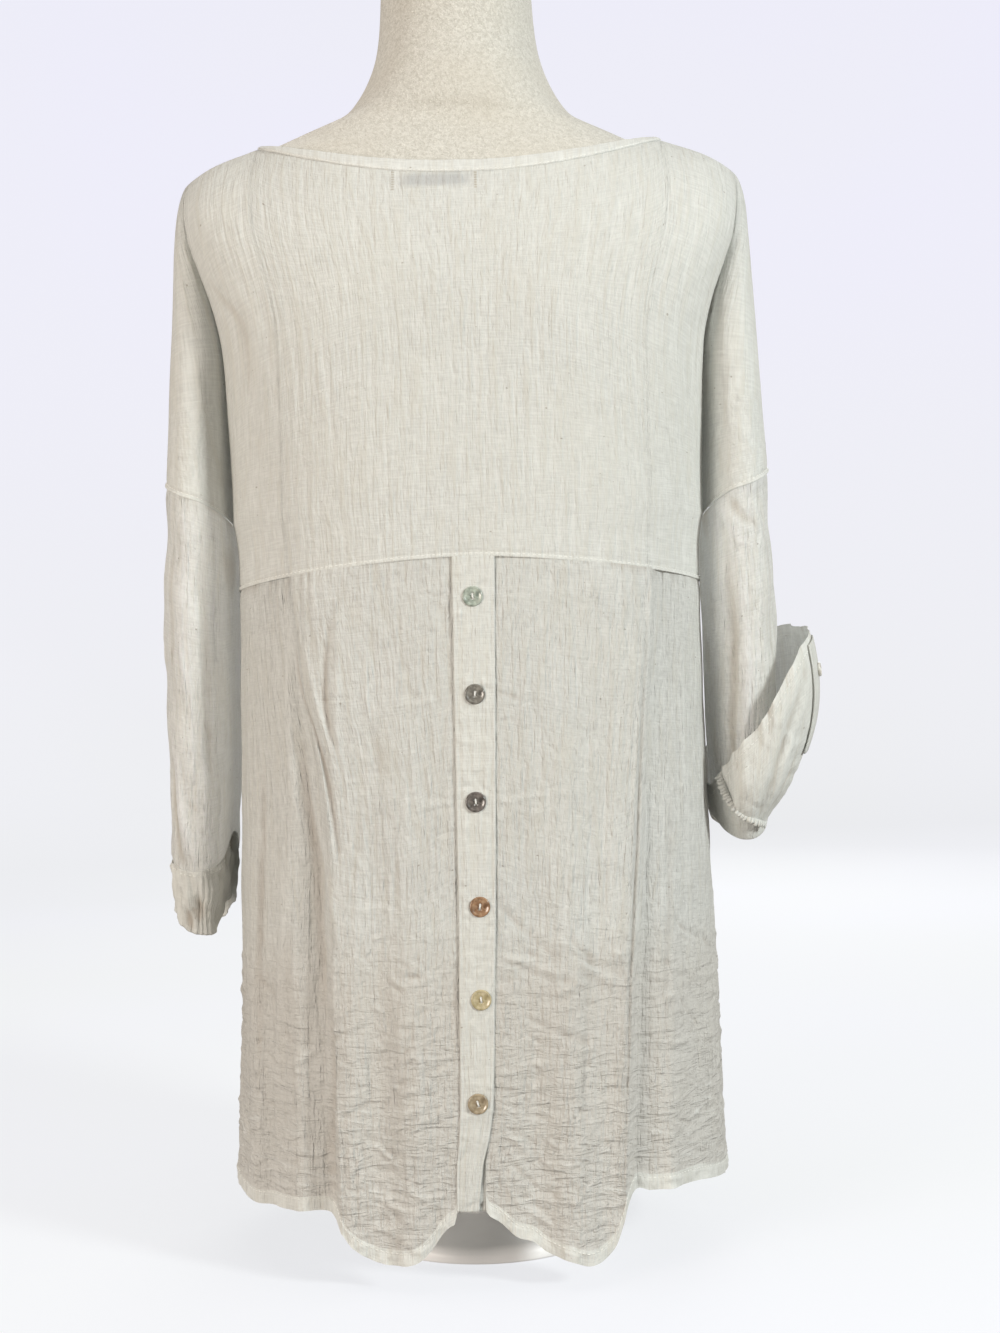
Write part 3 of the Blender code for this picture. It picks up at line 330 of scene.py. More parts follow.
RIGHT_CREASES = (
    (0.0012, 0.0020, ((0.137, 0.511), (0.135, 0.496), (0.133, 0.478))),
    (-0.0018, 0.0022, ((0.133, 0.496), (0.129, 0.424), (0.124, 0.351), (0.118, 0.279), (0.113, 0.206),
                       (0.107, 0.119), (0.104, 0.076))),
    (0.0010, 0.0040, ((0.141, 0.481), (0.136, 0.394), (0.131, 0.307), (0.124, 0.220))),
    (0.0009, 0.0050, ((0.160, 0.467), (0.160, 0.379), (0.161, 0.292), (0.163, 0.205))),
    (-0.0010, 0.0050, ((0.147, 0.380), (0.145, 0.278), (0.139, 0.176), (0.136, 0.089))),
    (0.0008, 0.0050, ((0.106, 0.381), (0.100, 0.294), (0.092, 0.207), (0.088, 0.120))),
    (-0.0009, 0.0040, ((0.087, 0.279), (0.081, 0.207), (0.077, 0.134), (0.078, 0.062))),
    (0.0011, 0.0024, ((0.012, 0.121), (0.030, 0.102), (0.053, 0.088), (0.085, 0.079))),
    (-0.0011, 0.0026, ((0.013, 0.107), (0.028, 0.085), (0.050, 0.068), (0.081, 0.057))),
    (0.0009, 0.0024, ((0.011, 0.087), (0.026, 0.064), (0.045, 0.049), (0.069, 0.042))),
    (-0.0007, 0.0024, ((0.021, 0.143), (0.042, 0.131), (0.071, 0.127), (0.100, 0.131))),
    (0.0007, 0.0022, ((0.026, 0.179), (0.049, 0.170), (0.078, 0.171), (0.104, 0.177))),
    (-0.0006, 0.0024, ((0.025, 0.237), (0.045, 0.226), (0.074, 0.222))),
    (0.0006, 0.0026, ((0.022, 0.354), (0.040, 0.344), (0.062, 0.345))),
    (-0.0006, 0.0030, ((0.066, 0.491), (0.068, 0.425), (0.063, 0.367))),
    (0.0006, 0.0030, ((0.044, 0.484), (0.039, 0.426), (0.042, 0.375))),
    (0.0007, 0.0024, ((0.124, 0.141), (0.144, 0.133), (0.167, 0.137))),
    (-0.0007, 0.0024, ((0.122, 0.112), (0.146, 0.102), (0.170, 0.107))),
)
FRONT_CREASES = (
    (-0.0020, 0.0060, ((-0.120, 0.760), (-0.132, 0.700), (-0.140, 0.640), (-0.144, 0.570))),
    (0.0014, 0.0060, ((-0.105, 0.740), (-0.116, 0.680), (-0.124, 0.610))),
    (-0.0018, 0.0060, ((0.128, 0.752), (0.138, 0.690), (0.145, 0.620), (0.147, 0.560))),
    (0.0013, 0.0060, ((0.112, 0.730), (0.122, 0.660), (0.127, 0.600))),
    (-0.0012, 0.0050, ((-0.092, 0.560), (-0.098, 0.450), (-0.094, 0.330), (-0.102, 0.200))),
    (0.0012, 0.0060, ((-0.060, 0.520), (-0.052, 0.400), (-0.058, 0.260), (-0.050, 0.120))),
    (-0.0010, 0.0050, ((0.010, 0.480), (0.004, 0.360), (0.012, 0.240), (0.006, 0.110))),
    (0.0012, 0.0050, ((0.052, 0.540), (0.060, 0.420), (0.054, 0.280), (0.064, 0.150))),
    (-0.0014, 0.0060, ((0.104, 0.520), (0.098, 0.390), (0.106, 0.250), (0.098, 0.100))),
    (0.0010, 0.0040, ((0.140, 0.480), (0.146, 0.340), (0.138, 0.190))),
    (0.0009, 0.0040, ((-0.146, 0.470), (-0.150, 0.330), (-0.142, 0.180))),
)

# Creases of the sleeves: depth, width, and the path as (angle, height)
LEFT_SLEEVE_CREASES = (
    (-0.0024, 0.0050, ((40, 0.390), (48, 0.350), (62, 0.315), (84, 0.298))),
    (0.0018, 0.0045, ((58, 0.400), (66, 0.360), (80, 0.325), (98, 0.305))),
    (-0.0016, 0.0040, ((18, 0.372), (26, 0.335), (36, 0.305))),
    (0.0014, 0.0040, ((5, 0.360), (14, 0.325), (22, 0.295))),
    (-0.0009, 0.0026, ((76, 0.352), (92, 0.346), (104, 0.341))),
    (0.0009, 0.0026, ((80, 0.328), (98, 0.324), (116, 0.322))),
    (-0.0014, 0.0060, ((108, 0.560), (112, 0.480), (116, 0.400), (124, 0.350))),
    (0.0012, 0.0060, ((88, 0.575), (84, 0.500), (88, 0.430))),
    (-0.0012, 0.0060, ((60, 0.560), (54, 0.480), (60, 0.420))),
    (0.0010, 0.0050, ((30, 0.550), (26, 0.470), (34, 0.410))),
    (-0.0014, 0.0060, ((330, 0.560), (336, 0.470), (330, 0.380))),
    (0.0012, 0.0060, ((300, 0.550), (306, 0.450), (298, 0.350))),
    (-0.0012, 0.0060, ((265, 0.555), (260, 0.460), (266, 0.360))),
    (0.0010, 0.0050, ((230, 0.540), (236, 0.440), (228, 0.350))),
)
RIGHT_SLEEVE_CREASES = (
    (-0.0018, 0.0050, ((128, 0.600), (96, 0.565), (70, 0.555))),
    (0.0014, 0.0045, ((134, 0.585), (104, 0.548), (78, 0.536))),
    (-0.0020, 0.0060, ((118, 0.540), (112, 0.470), (116, 0.400), (128, 0.350))),
    (0.0016, 0.0060, ((98, 0.520), (92, 0.450), (96, 0.380), (108, 0.335))),
    (-0.0010, 0.0030, ((70, 0.505), (90, 0.488), (104, 0.482))),
    (0.0010, 0.0030, ((64, 0.470), (84, 0.452), (100, 0.448))),
    (-0.0012, 0.0050, ((50, 0.560), (44, 0.500), (50, 0.440))),
    (0.0011, 0.0050, ((24, 0.560), (18, 0.500), (22, 0.440))),
    (-0.0014, 0.0060, ((330, 0.560), (336, 0.490), (330, 0.410))),
    (0.0012, 0.0060, ((298, 0.550), (304, 0.470), (296, 0.390))),
    (-0.0012, 0.0060, ((262, 0.555), (256, 0.480), (262, 0.390))),
    (0.0010, 0.0050, ((228, 0.540), (234, 0.460), (226, 0.380))),
)
# Creases of the turned-back cuff: depth, width, and the path as (u, v)
ROLL_CREASES = (
    (-0.0020, 0.0045, ((0.285, 0.10), (0.300, 0.35), (0.335, 0.62), (0.380, 0.90))),
    (0.0018, 0.0045, ((0.310, 0.08), (0.330, 0.35), (0.365, 0.60), (0.405, 0.86))),
    (-0.0016, 0.0040, ((0.360, 0.05), (0.375, 0.30), (0.400, 0.52))),
    (0.0016, 0.0040, ((0.400, 0.04), (0.408, 0.25), (0.425, 0.45))),
    (-0.0014, 0.0035, ((0.330, 0.22), (0.380, 0.30), (0.430, 0.26))),
    (0.0012, 0.0035, ((0.300, 0.42), (0.350, 0.50), (0.410, 0.46))),
    (-0.0016, 0.0040, ((0.450, 0.06), (0.455, 0.22), (0.450, 0.38))),
    (0.0012, 0.0040, ((0.200, 0.15), (0.215, 0.45), (0.245, 0.75))),
    (-0.0012, 0.0040, ((0.140, 0.15), (0.150, 0.45), (0.170, 0.70))),
    (-0.0016, 0.0045, ((0.560, 0.08), (0.570, 0.40), (0.590, 0.80))),
    (0.0014, 0.0045, ((0.620, 0.08), (0.635, 0.45), (0.650, 0.85))),
    (-0.0014, 0.0045, ((0.700, 0.10), (0.705, 0.45), (0.720, 0.82))),
    (0.0012, 0.0045, ((0.800, 0.10), (0.805, 0.45), (0.790, 0.80))),
)


def table_columns(table):
    if id(table) not in table_columns.kept:
        keys = [row[0] for row in table]
        last = len(keys) - 1
        curves = []
        for column in zip(*table):
            slopes = []
            for n in range(last + 1):
                a, b = max(n - 1, 0), min(n + 1, last)
                slopes.append((column[b] - column[a]) / (keys[b] - keys[a]))
            curves.append((column, slopes))
        table_columns.kept[id(table)] = (keys, curves)
    return table_columns.kept[id(table)]


table_columns.kept = {}


def read_table(table, columns, name, key):
    """Value of one column at a key, on a smooth curve through the rows."""
    keys, curves = table_columns(table)
    values, slopes = curves[columns.index(name)]
    if key <= keys[0]:
        return values[0]
    if key >= keys[-1]:
        return values[-1]
    i = bisect.bisect_left(keys, key) - 1
    span = keys[i + 1] - keys[i]
    t = (key - keys[i]) / span
    start = (1 + 2 * t) * (1 - t) ** 2 * values[i] + t * (1 - t) ** 2 * span * slopes[i]
    end = t * t * (3 - 2 * t) * values[i + 1] + t * t * (t - 1) * span * slopes[i + 1]
    return start + end


def mix(a, b, t):
    return a + (b - a) * t


def steps(start, end, count):
    return [start + (end - start) * n / count for n in range(count + 1)]


def dome(drop):
    if drop >= DOME_HEIGHT:
        return 1.0
    return math.sin(math.acos(1.0 - max(drop, 0.0) / DOME_HEIGHT)) ** DOME_POWER


def ridge(x):
    return read_table(RIDGE, RIDGE_COLUMNS, "height", abs(x))


def flatter(value):
    """Sine or cosine of a sleeve section, squared off where the cloth lies flat."""
    return math.copysign(abs(value) ** ARM_FLATNESS, value)


def valley(z):
    inner = read_table(ARM, ARM_COLUMNS, "inner", z)
    outer = read_table(ARM, ARM_COLUMNS, "outer", z)
    depth = read_table(ARM, ARM_COLUMNS, "depth", z)
    angle = math.pi / 2 * (1 + read_table(ARM, ARM_COLUMNS, "closing", z))
    width = (outer - inner) / 2
    return (inner + outer) / 2 + width * flatter(math.cos(angle)), depth * flatter(math.sin(angle))


def round_profile(share):
    return max(1.0 - abs(share) ** BODY_ROUNDNESS, 0.0) ** (1 / BODY_ROUNDNESS)


def fold_offset(folds, side, x, z):
    total = 0.0
    for fold_side, centre, width, depth, start in folds:
        if fold_side == side and z < start:
            grown = min((start - z) / start * FOLD_GROWTH, 1.0)
            total += depth * grown * math.exp(-(((x - centre) / width) ** 2))
    return total


def neck_height(x, lowest):
    share = min(abs(x) / NECK_HALF, 1.0)
    return mix(lowest, ridge(NECK_HALF), share ** NECK_CURVE)


def across(u):
    size = abs(u)
    if size <= VALLEY_U:
        return BODY_REACH * math.sin(size / VALLEY_U * math.pi / 2)
    return mix(BODY_REACH, 1.0, (size - VALLEY_U) / (1 - VALLEY_U))


def column_of(x):
    return VALLEY_U / (math.pi / 2) * math.asin(min(x / RIDGE_END / BODY_REACH, 1.0))


def column_top(u, lowest):
    top_x = RIDGE_END * across(u)
    crest = ridge(top_x)
    if top_x >= NECK_HALF:
        return crest, 0.0
    drop = crest - neck_height(top_x, lowest)
    return crest, math.acos(1.0 - drop / DOME_HEIGHT)


def upper_point(u, v, facing):
    """Point of the yoke or the upper front; v runs 0 to 1 down to the armpit."""
    lowest = NECK_BACK if facing < 0 else NECK_FRONT
    side = -1 if u < 0 else 1
    size = abs(u)
    crest, start = column_top(u, lowest)
    arm_share = max((size - VALLEY_U) / (1 - VALLEY_U), 0.0)
    bottom = ARMPIT + ARM_SEAM_RISE * arm_share
    if v <= DOME_LEVEL:
        z = crest - DOME_HEIGHT * (1 - math.cos(mix(start, math.pi / 2, v / DOME_LEVEL)))
    else:
        z = mix(crest - DOME_HEIGHT, bottom, (v - DOME_LEVEL) / (1 - DOME_LEVEL))
    depth_share = dome(crest - z)
    if size <= VALLEY_U:
        edge_x, edge_depth = valley(z)
        share = math.sin(size / VALLEY_U * math.pi / 2)
        full = read_table(BODY, BODY_COLUMNS, "back" if facing < 0 else "front", z)
        x = edge_x * share
        depth = edge_depth + (full - edge_depth) * round_profile(share)
    else:
        inner = read_table(ARM, ARM_COLUMNS, "inner", z)
        outer = read_table(ARM, ARM_COLUMNS, "outer", z)
        closing = read_table(ARM, ARM_COLUMNS, "closing", z)
        angle = math.pi / 2 * (1 + closing) * (1 - arm_share)
        x = (inner + outer) / 2 + (outer - inner) / 2 * flatter(math.cos(angle))
        depth = read_table(ARM, ARM_COLUMNS, "depth", z) * flatter(math.sin(angle))
    return side * x, facing * depth * depth_share, z


def lower_point(share, side, z, facing):
    half = read_table(BODY, BODY_COLUMNS, "half_width", z)
    full = read_table(BODY, BODY_COLUMNS, "back" if facing < 0 else "front", z)
    edge = valley(ARMPIT)[1] * max(1 - (ARMPIT - z) / ARMPIT_EASE, 0.0)
    reach = valley(ARMPIT)[0] - read_table(BODY, BODY_COLUMNS, "half_width", ARMPIT) - 0.0003
    half += reach * max(1 - (ARMPIT - z) / ARMPIT_REACH, 0.0) ** 2
    return side * half * share, facing * (edge + (full - edge) * round_profile(share)), z


def empire_height(share):
    return mix(EMPIRE_CENTRE, EMPIRE_SIDE, share ** 1.6)


def yoke_point(u, v):
    if v <= 1 or abs(u) > VALLEY_U:
        return upper_point(u, min(v, 1.0), -1)
    share = math.sin(abs(u) / VALLEY_U * math.pi / 2)
    z = mix(ARMPIT, empire_height(share), v - 1)
    return lower_point(share, -1 if u < 0 else 1, z, -1)


def front_point(u, v):
    if v <= 1 or abs(u) > VALLEY_U:
        return upper_point(u, min(v, 1.0), 1)
    side = -1 if u < 0 else 1
    share = math.sin(abs(u) / VALLEY_U * math.pi / 2)
    z = mix(ARMPIT, mix(FRONT_HEM, FRONT_HEM_SIDE, share ** 2), v - 1)
    x, y, z = lower_point(share, side, z, 1)
    return x, y + fold_offset(FRONT_FOLDS, side, abs(x), z) * round_profile(share), z


def pleat_offset(side, x, z):
    fold_x = read_table(PLEAT, PLEAT_COLUMNS, "left" if side < 0 else "right", z)
    step = read_table(PLEAT, PLEAT_COLUMNS, "step", z)
    away = x - fold_x
    if away <= 0:
        return PLEAT_RIDGE_SHARE * step * math.exp(-((away / PLEAT_RIDGE_WIDTH) ** 2))
    drop = min(away / PLEAT_DROP_WIDTH, 1.0)
    trough = (1 - PLEAT_RIDGE_SHARE) * math.exp(-away / PLEAT_TROUGH_WIDTH)
    return step * (PLEAT_RIDGE_SHARE * (1 - drop) - trough * drop)


def placket_edge(side, z):
    return read_table(PLACKET, PLACKET_COLUMNS, "left" if side < 0 else "right", z)


def back_surface(x, side, z):
    half = read_table(BODY, BODY_COLUMNS, "half_width", z)
    full = read_table(BODY, BODY_COLUMNS, "back", z)
    profile = round_profile(min(abs(x) / half, 1.0))
    lift = pleat_offset(side, side * x, z) + fold_offset(FOLDS, side, side * x, z)
    soften = max(min((half - abs(x)) / SIDE_EASE, 1.0), 0.0)
    return -(full * profile + lift * soften)


def split_open(z):
    return min(max((SPLIT_START - z) / SPLIT_FADE, 0.0), 1.0)


def skirt_x(side, u, z):
    half = read_table(BODY, BODY_COLUMNS, "half_width", z)
    fold_x = read_table(PLEAT, PLEAT_COLUMNS, "left" if side < 0 else "right", z)
    inner_edge = side * placket_edge(side, z)
    if side > 0:
        inner_edge += RIGHT_FLAP_SHIFT * split_open(z)
    if u <= PLEAT_U:
        return mix(inner_edge, fold_x, u / PLEAT_U)
    first = math.asin(fold_x / half)
    return half * math.sin(mix(first, math.pi / 2, (u - PLEAT_U) / (1 - PLEAT_U)))


def seam_above(x):
    half = read_table(BODY, BODY_COLUMNS, "half_width", EMPIRE_CENTRE)
    return empire_height(min(abs(x) / half, 1.0))


def skirt_point(side, u, v):
    name = "left" if side < 0 else "right"
    top = seam_above(skirt_x(side, u, EMPIRE_CENTRE)) + 0.001
    hem = FLAP_END if u == 0 else read_table(HEM, HEM_COLUMNS, name, skirt_x(side, u, FLAP_END))
    z = mix(top, hem, v)
    x = skirt_x(side, u, z)
    return side * x, back_surface(side * x, side, z), z


def placket_point(u, v, lap):
    z = mix(seam_above(placket_edge(1, EMPIRE_CENTRE)) + 0.001, FLAP_END, v)
    shift = lap + RIGHT_FLAP_SHIFT * split_open(z) * (lap > 0)
    x = mix(placket_edge(-1, z), placket_edge(1, z), u) + shift
    return x, back_surface(x, -1 if x < 0 else 1, z), z


def sleeve_section(table, angle, z):
    inner = read_table(table, SLEEVE_COLUMNS, "inner", z)
    outer = read_table(table, SLEEVE_COLUMNS, "outer", z)
    depth = read_table(table, SLEEVE_COLUMNS, "back" if math.sin(angle) > 0 else "front", z)
    x = (inner + outer) / 2 + (outer - inner) / 2 * flatter(math.cos(angle))
    return x, -depth * flatter(math.sin(angle)), z


def arm_seam(around):
    share = min(around, 2 - around)
    z = ARMPIT + ARM_SEAM_RISE * share
    full = math.pi / 2 * (1 + read_table(ARM, ARM_COLUMNS, "closing", z))
    angle = (1 - share) * (full if share > 0 else math.pi)
    return (angle if around <= 1 else 2 * math.pi - angle), z


def sleeve_point(table, end_height, u, v):
    """Sleeve on the +X side; u 0 and 1 lie beside the body."""
    around = 2 * u
    seam_angle, seam_z = arm_seam(around)
    even = math.pi * (1 - around)
    if around > 1:
        seam_angle -= 2 * math.pi
    angle = mix(seam_angle, even, min(v * 3, 1.0)) % (2 * math.pi)
    return sleeve_section(table, angle, mix(seam_z, end_height(angle), v))


def left_end(name, angle):
    return read_table(LEFT_END, LEFT_END_COLUMNS, name, math.degrees(angle) % 360.0)


def left_sleeve_point(u, v):
    x, y, z = sleeve_point(LEFT_SLEEVE, lambda angle: left_end("sleeve", angle), u, v)
    return -x, y, z


def left_cuff_point(u, v):
    angle = math.pi * (1 - 2 * u) % (2 * math.pi)
    z = mix(left_end("sleeve", angle) + 0.0015, left_end("cuff", angle), v)
    x, y, z = sleeve_section(LEFT_SLEEVE, angle, z)
    return -x, y, z


def roll_value(name, angle):
    return read_table(ROLL, ROLL_COLUMNS, name, math.degrees(angle) % 360.0)


def right_sleeve_point(u, v):
    return sleeve_point(RIGHT_SLEEVE, lambda angle: roll_value("fold", angle), u, v)


def roll_point(u, v):
    angle = math.pi * (1 - 2 * u) % (2 * math.pi)
    z = mix(roll_value("fold", angle) - 0.0004, roll_value("edge", angle), v)
    x, y, z = sleeve_section(RIGHT_SLEEVE, angle, z)
    rise = math.sin(math.pi / 2 * min(v / ROLL_PEAK, 1.0))
    fall = math.cos(math.pi / 2 * max((v - ROLL_PEAK) / (ROLL_REACH - ROLL_PEAK), 0.0))
    off = ROLL_NEAR + max(roll_value("stand_off", angle) - ROLL_NEAR, 0.0) * rise * fall
    return x + off * math.cos(angle), y - off * math.sin(angle), z


def tab_point(u, v):
    angle = math.radians(TAB_CENTRE_ANGLE + TAB_HALF_ANGLE * (2 * u - 1))
    return roll_point((math.pi - angle) / (2 * math.pi), mix(TAB_START, TAB_END, v))


def ridge_reach(z):
    low, high = 0.0, RIDGE_END
    for _ in range(30):
        middle = (low + high) / 2
        if ridge(middle) - SHOULDER_CLEARANCE > z:
            low = middle
        else:
            high = middle
    return low


def form_ring(half, back, front, z, sharpness, segments=96):
    row = []
    for n in range(segments):
        angle = 2 * math.pi * n / segments
        depth = back if math.sin(angle) < 0 else front
        x = half * math.copysign(abs(math.cos(angle)) ** FORM_SHARPNESS, math.cos(angle))
        y = depth * math.copysign(abs(math.sin(angle)) ** sharpness, math.sin(angle))
        row.append((x, y, z - RIGHT_DROP * max(x, 0.0) * read_table(DROP, DROP_COLUMNS, "share", z)))
    return row


# ---------------------------------------------------------------- grids
def between(points, axis, closed=False):
    """Doubles a grid along an axis with cubic midpoints."""
    p = np.moveaxis(points, axis, 0)
    first, last = (p[-1:], p[:2]) if closed else (2 * p[:1] - p[1:2], 2 * p[-1:] - p[-2:-1])
    q = np.concatenate((first, p, last))
    middle = (-q[:-3] + 9 * q[1:-2] + 9 * q[2:-1] - q[3:]) / 16
    out = np.empty((len(p) + len(middle),) + p.shape[1:])
    out[0::2] = p
    out[1::2] = middle
    return np.moveaxis(out, 0, axis)


def sheet_grid(point, us, vs, closed=False):
    """Grid of surface points (rows, columns, 3), doubled FINE - 1 times."""
    grid = np.array([[point(u, v) for u in us] for v in vs])
    for _ in range(FINE - 1):
        grid = between(between(grid, 0), 1, closed)
    return grid


def finer(values, closed=False):
    """The same doubling for a row of grid values."""
    values = np.array(values, dtype=float)
    for _ in range(FINE - 1):
        values = between(values[:, None], 0, closed)[:, 0]
    return values


def grid_normals(grid, closed=False):
    """Unit normals of a grid, from its row and column directions; their sign follows the grid's order."""
    if closed:
        along = np.roll(grid, -1, axis=1) - np.roll(grid, 1, axis=1)
    else:
        along = np.gradient(grid, axis=1)
    down = np.gradient(grid, axis=0)
    normal = np.cross(along, down)
    normal /= np.maximum(np.linalg.norm(normal, axis=2), 1e-9)[..., None]
    return normal


def outward_normals(grid, axis_x=0.0, closed=False):
    normal = grid_normals(grid, closed)
    out = grid - np.array((axis_x, 0.0, 0.0))
    out[..., 2] = 0.0
    return normal if np.sum(normal * out) > 0 else -normal


def press(points, relief, path, depth, width):
    """Adds a soft ridge or trough along a path of points to the relief."""
    path = np.array(path, dtype=float)
    low = path.min(axis=0) - 4 * width
    high = path.max(axis=0) + 4 * width
    near = np.all((points > low) & (points < high), axis=1)
    index = np.nonzero(near)[0]
    if not len(index):
        return
    some = points[index]
    lengths = np.linalg.norm(np.diff(path, axis=0), axis=1)
    total = lengths.sum()
    best = np.full(len(some), 1e9)
    place = np.zeros(len(some))
    done = 0.0
    for a, b, length in zip(path, path[1:], lengths):
        way = b - a
        t = np.clip(((some - a) @ way) / max(length ** 2, 1e-12), 0.0, 1.0)
        gap = np.linalg.norm(some - a - t[:, None] * way, axis=1)
        closer = gap < best
        best[closer] = gap[closer]
        place[closer] = (done + t[closer] * length) / total
        done += length
    shape = np.exp(-((best / width) ** 2)) - 0.32 * np.exp(-((best / (2.3 * width)) ** 2))
    taper = np.clip(np.sin(math.pi * np.clip(place, 0.0, 1.0)), 0.0, 1.0) ** 0.55
    relief[index] += depth * shape * taper


def on_sheet(points, x, z):
    """The point of a back or front panel at (x, z)."""
    return points[np.argmin((points[:, 0] - x) ** 2 + (points[:, 2] - z) ** 2)]


def smooth_path(path, count=4):
    path = np.array(path, dtype=float)
    for _ in range(2):
        path = between(path, 0)
    return path


def press_all(points, relief, creases, find):
    for depth, width, path in creases:
        press(points, relief, smooth_path([find(*place) for place in path]), depth, width)


def scatter(points, normals, relief, rng, count, zone, length, slope, width, depth, leans=(-1, 1)):
    """Small creases at seeded places; slope is their range of angles in degrees, leans its signs."""
    inside = np.nonzero(zone)[0]
    if not len(inside):
        return
    up = np.array((0.0, 0.0, 1.0))
    for _ in range(count):
        start = inside[rng.integers(len(inside))]
        level = np.cross(normals[start], up)
        level /= max(np.linalg.norm(level), 1e-6)
        turn = math.radians(rng.uniform(*slope)) * rng.choice(leans)
        bend = rng.uniform(-0.5, 0.5)
        reach = rng.uniform(*length)
        path = [points[start]]
        for n in range(4):
            way = level * math.cos(turn) + up * math.sin(turn)
            path.append(path[-1] + way * reach / 4)
            turn += bend / 4
        size = rng.uniform(*depth) * rng.choice((-1, 1))
        press(points, relief, path, size, rng.uniform(*width))


def swell(points, rng, count, shortest, longest, height):
    """Soft uneven relief from a few long waves."""
    total = np.zeros(len(points))
    for _ in range(count):
        wave = rng.normal(size=3) * np.array((1.0, 1.0, 0.6))
        wave /= np.linalg.norm(wave)
        total += np.sin(points @ wave * 2 * math.pi / rng.uniform(shortest, longest) + rng.uniform(0, 6.28))
    return total * height / math.sqrt(count)


def metric_uv(grid, closed=False):
    """Cloth lengths in metres along the rows and down the middle column."""
    rows, columns = grid.shape[:2]
    across_row = np.linalg.norm(np.diff(grid[rows // 3], axis=0), axis=1)
    down = np.linalg.norm(np.diff(grid[:, columns // 3], axis=0), axis=1)
    u = np.concatenate(((0.0,), np.cumsum(across_row)))
    v = np.concatenate(((0.0,), np.cumsum(down)))
    return u, v


def shell(name, grid, materials, material_of=None, closed=False, keep=None, thickness=0.0,
          relief=None, smooth=True):
    """Cloth shell from a finished grid, with lengths as UVs and the relief as an attribute."""
    rows, columns = grid.shape[:2]
    points = grid.reshape(-1, 3)
    u, v = metric_uv(grid, closed)
    faces = []
    kinds = []
    uvs = []
    wide = columns if closed else columns - 1
    for r in range(rows - 1):
        for c in range(wide):
            if keep is not None and not keep(r, c):
                continue
            after = (c + 1) % columns
            faces.append((r * columns + c, r * columns + after,
                          (r + 1) * columns + after, (r + 1) * columns + c))
            kinds.append(material_of(r, c) if material_of else 0)
            u1 = u[c + 1] if c + 1 < columns else u[-1] + u[1]
            uvs += (u[c], v[r], u1, v[r], u1, v[r + 1], u[c], v[r + 1])
    used = np.unique(np.array(faces))
    renumber = np.full(len(points), -1)
    renumber[used] = np.arange(len(used))
    faces = renumber[np.array(faces)]
    mesh = bpy.data.meshes.new(name)
    mesh.from_pydata(points[used].tolist(), [], faces.tolist())
    layer = mesh.uv_layers.new(name="cloth")
    layer.data.foreach_set("uv", np.array(uvs, dtype=np.float32))
    mesh.polygons.foreach_set("material_index", np.array(kinds, dtype=np.int32))
    fold = mesh.attributes.new("fold", "FLOAT", "POINT")
    values = np.zeros(len(points)) if relief is None else relief
    fold.data.foreach_set("value", values[used].astype(np.float32))
    for material in materials:
        mesh.materials.append(material)
    mesh.shade_smooth()
    thing = bpy.data.objects.new(name, mesh)
    bpy.context.collection.objects.link(thing)
    if thickness:
        modifier = thing.modifiers.new("thickness", "SOLIDIFY")
        modifier.thickness = thickness
        modifier.offset = -1.0
        bpy.context.view_layer.update()
        solid = bpy.data.meshes.new_from_object(
            thing.evaluated_get(bpy.context.evaluated_depsgraph_get()))
        thing.modifiers.clear()
        thing.data = solid
    return thing


def settle(thing, slot, *nodes):
    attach(thing, "root")
    if nodes:
        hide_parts(*nodes)
    return thing


def stitch_row(name, path, normals, material, length=0.0024, gap=0.0015, radius=0.00032):
    """Row of short raised threads along a path that lies on the cloth."""
    path = np.array(path)
    normals = np.array(normals)
    pieces = np.linalg.norm(np.diff(path, axis=0), axis=1)
    run = np.concatenate(((0.0,), np.cumsum(pieces)))
    count = int(run[-1] / (length + gap))
    points = []
    faces = []
    sides = 5
    for n in range(count):
        middle = (n + 0.5) * (length + gap)
        place = np.array([np.interp(middle, run, path[:, k]) for k in range(3)])
        up = np.array([np.interp(middle, run, normals[:, k]) for k in range(3)])
        ahead = np.array([np.interp(middle + length / 2, run, path[:, k]) for k in range(3)])
        way = ahead - place
        way /= max(np.linalg.norm(way), 1e-9)
        up = up - way * (up @ way)
        up /= max(np.linalg.norm(up), 1e-9)
        across_way = np.cross(way, up)
        base = len(points)
        for share in (-1.0, -0.6, 0.0, 0.6, 1.0):
            size = radius * (0.35 + 0.65 * math.sqrt(1 - 0.9 * share * share))
            centre = place + way * share * length / 2 + up * radius * (0.9 - 0.7 * share * share)
            for s in range(sides):
                turn = 2 * math.pi * s / sides
                points.append(centre + (up * math.cos(turn) + across_way * math.sin(turn)) * size)
        for ring in range(4):
            for s in range(sides):
                a = base + ring * sides + s
                b = base + ring * sides + (s + 1) % sides
                faces.append((a, b, b + sides, a + sides))
        faces.append(tuple(base + s for s in range(sides)))
        faces.append(tuple(base + 4 * sides + s for s in reversed(range(sides))))
    mesh = bpy.data.meshes.new(name)
    mesh.from_pydata([tuple(p) for p in points], [], faces)
    mesh.materials.append(material)
    mesh.shade_smooth()
    thing = bpy.data.objects.new(name, mesh)
    bpy.context.collection.objects.link(thing)
    return settle(thing, "double_linen")


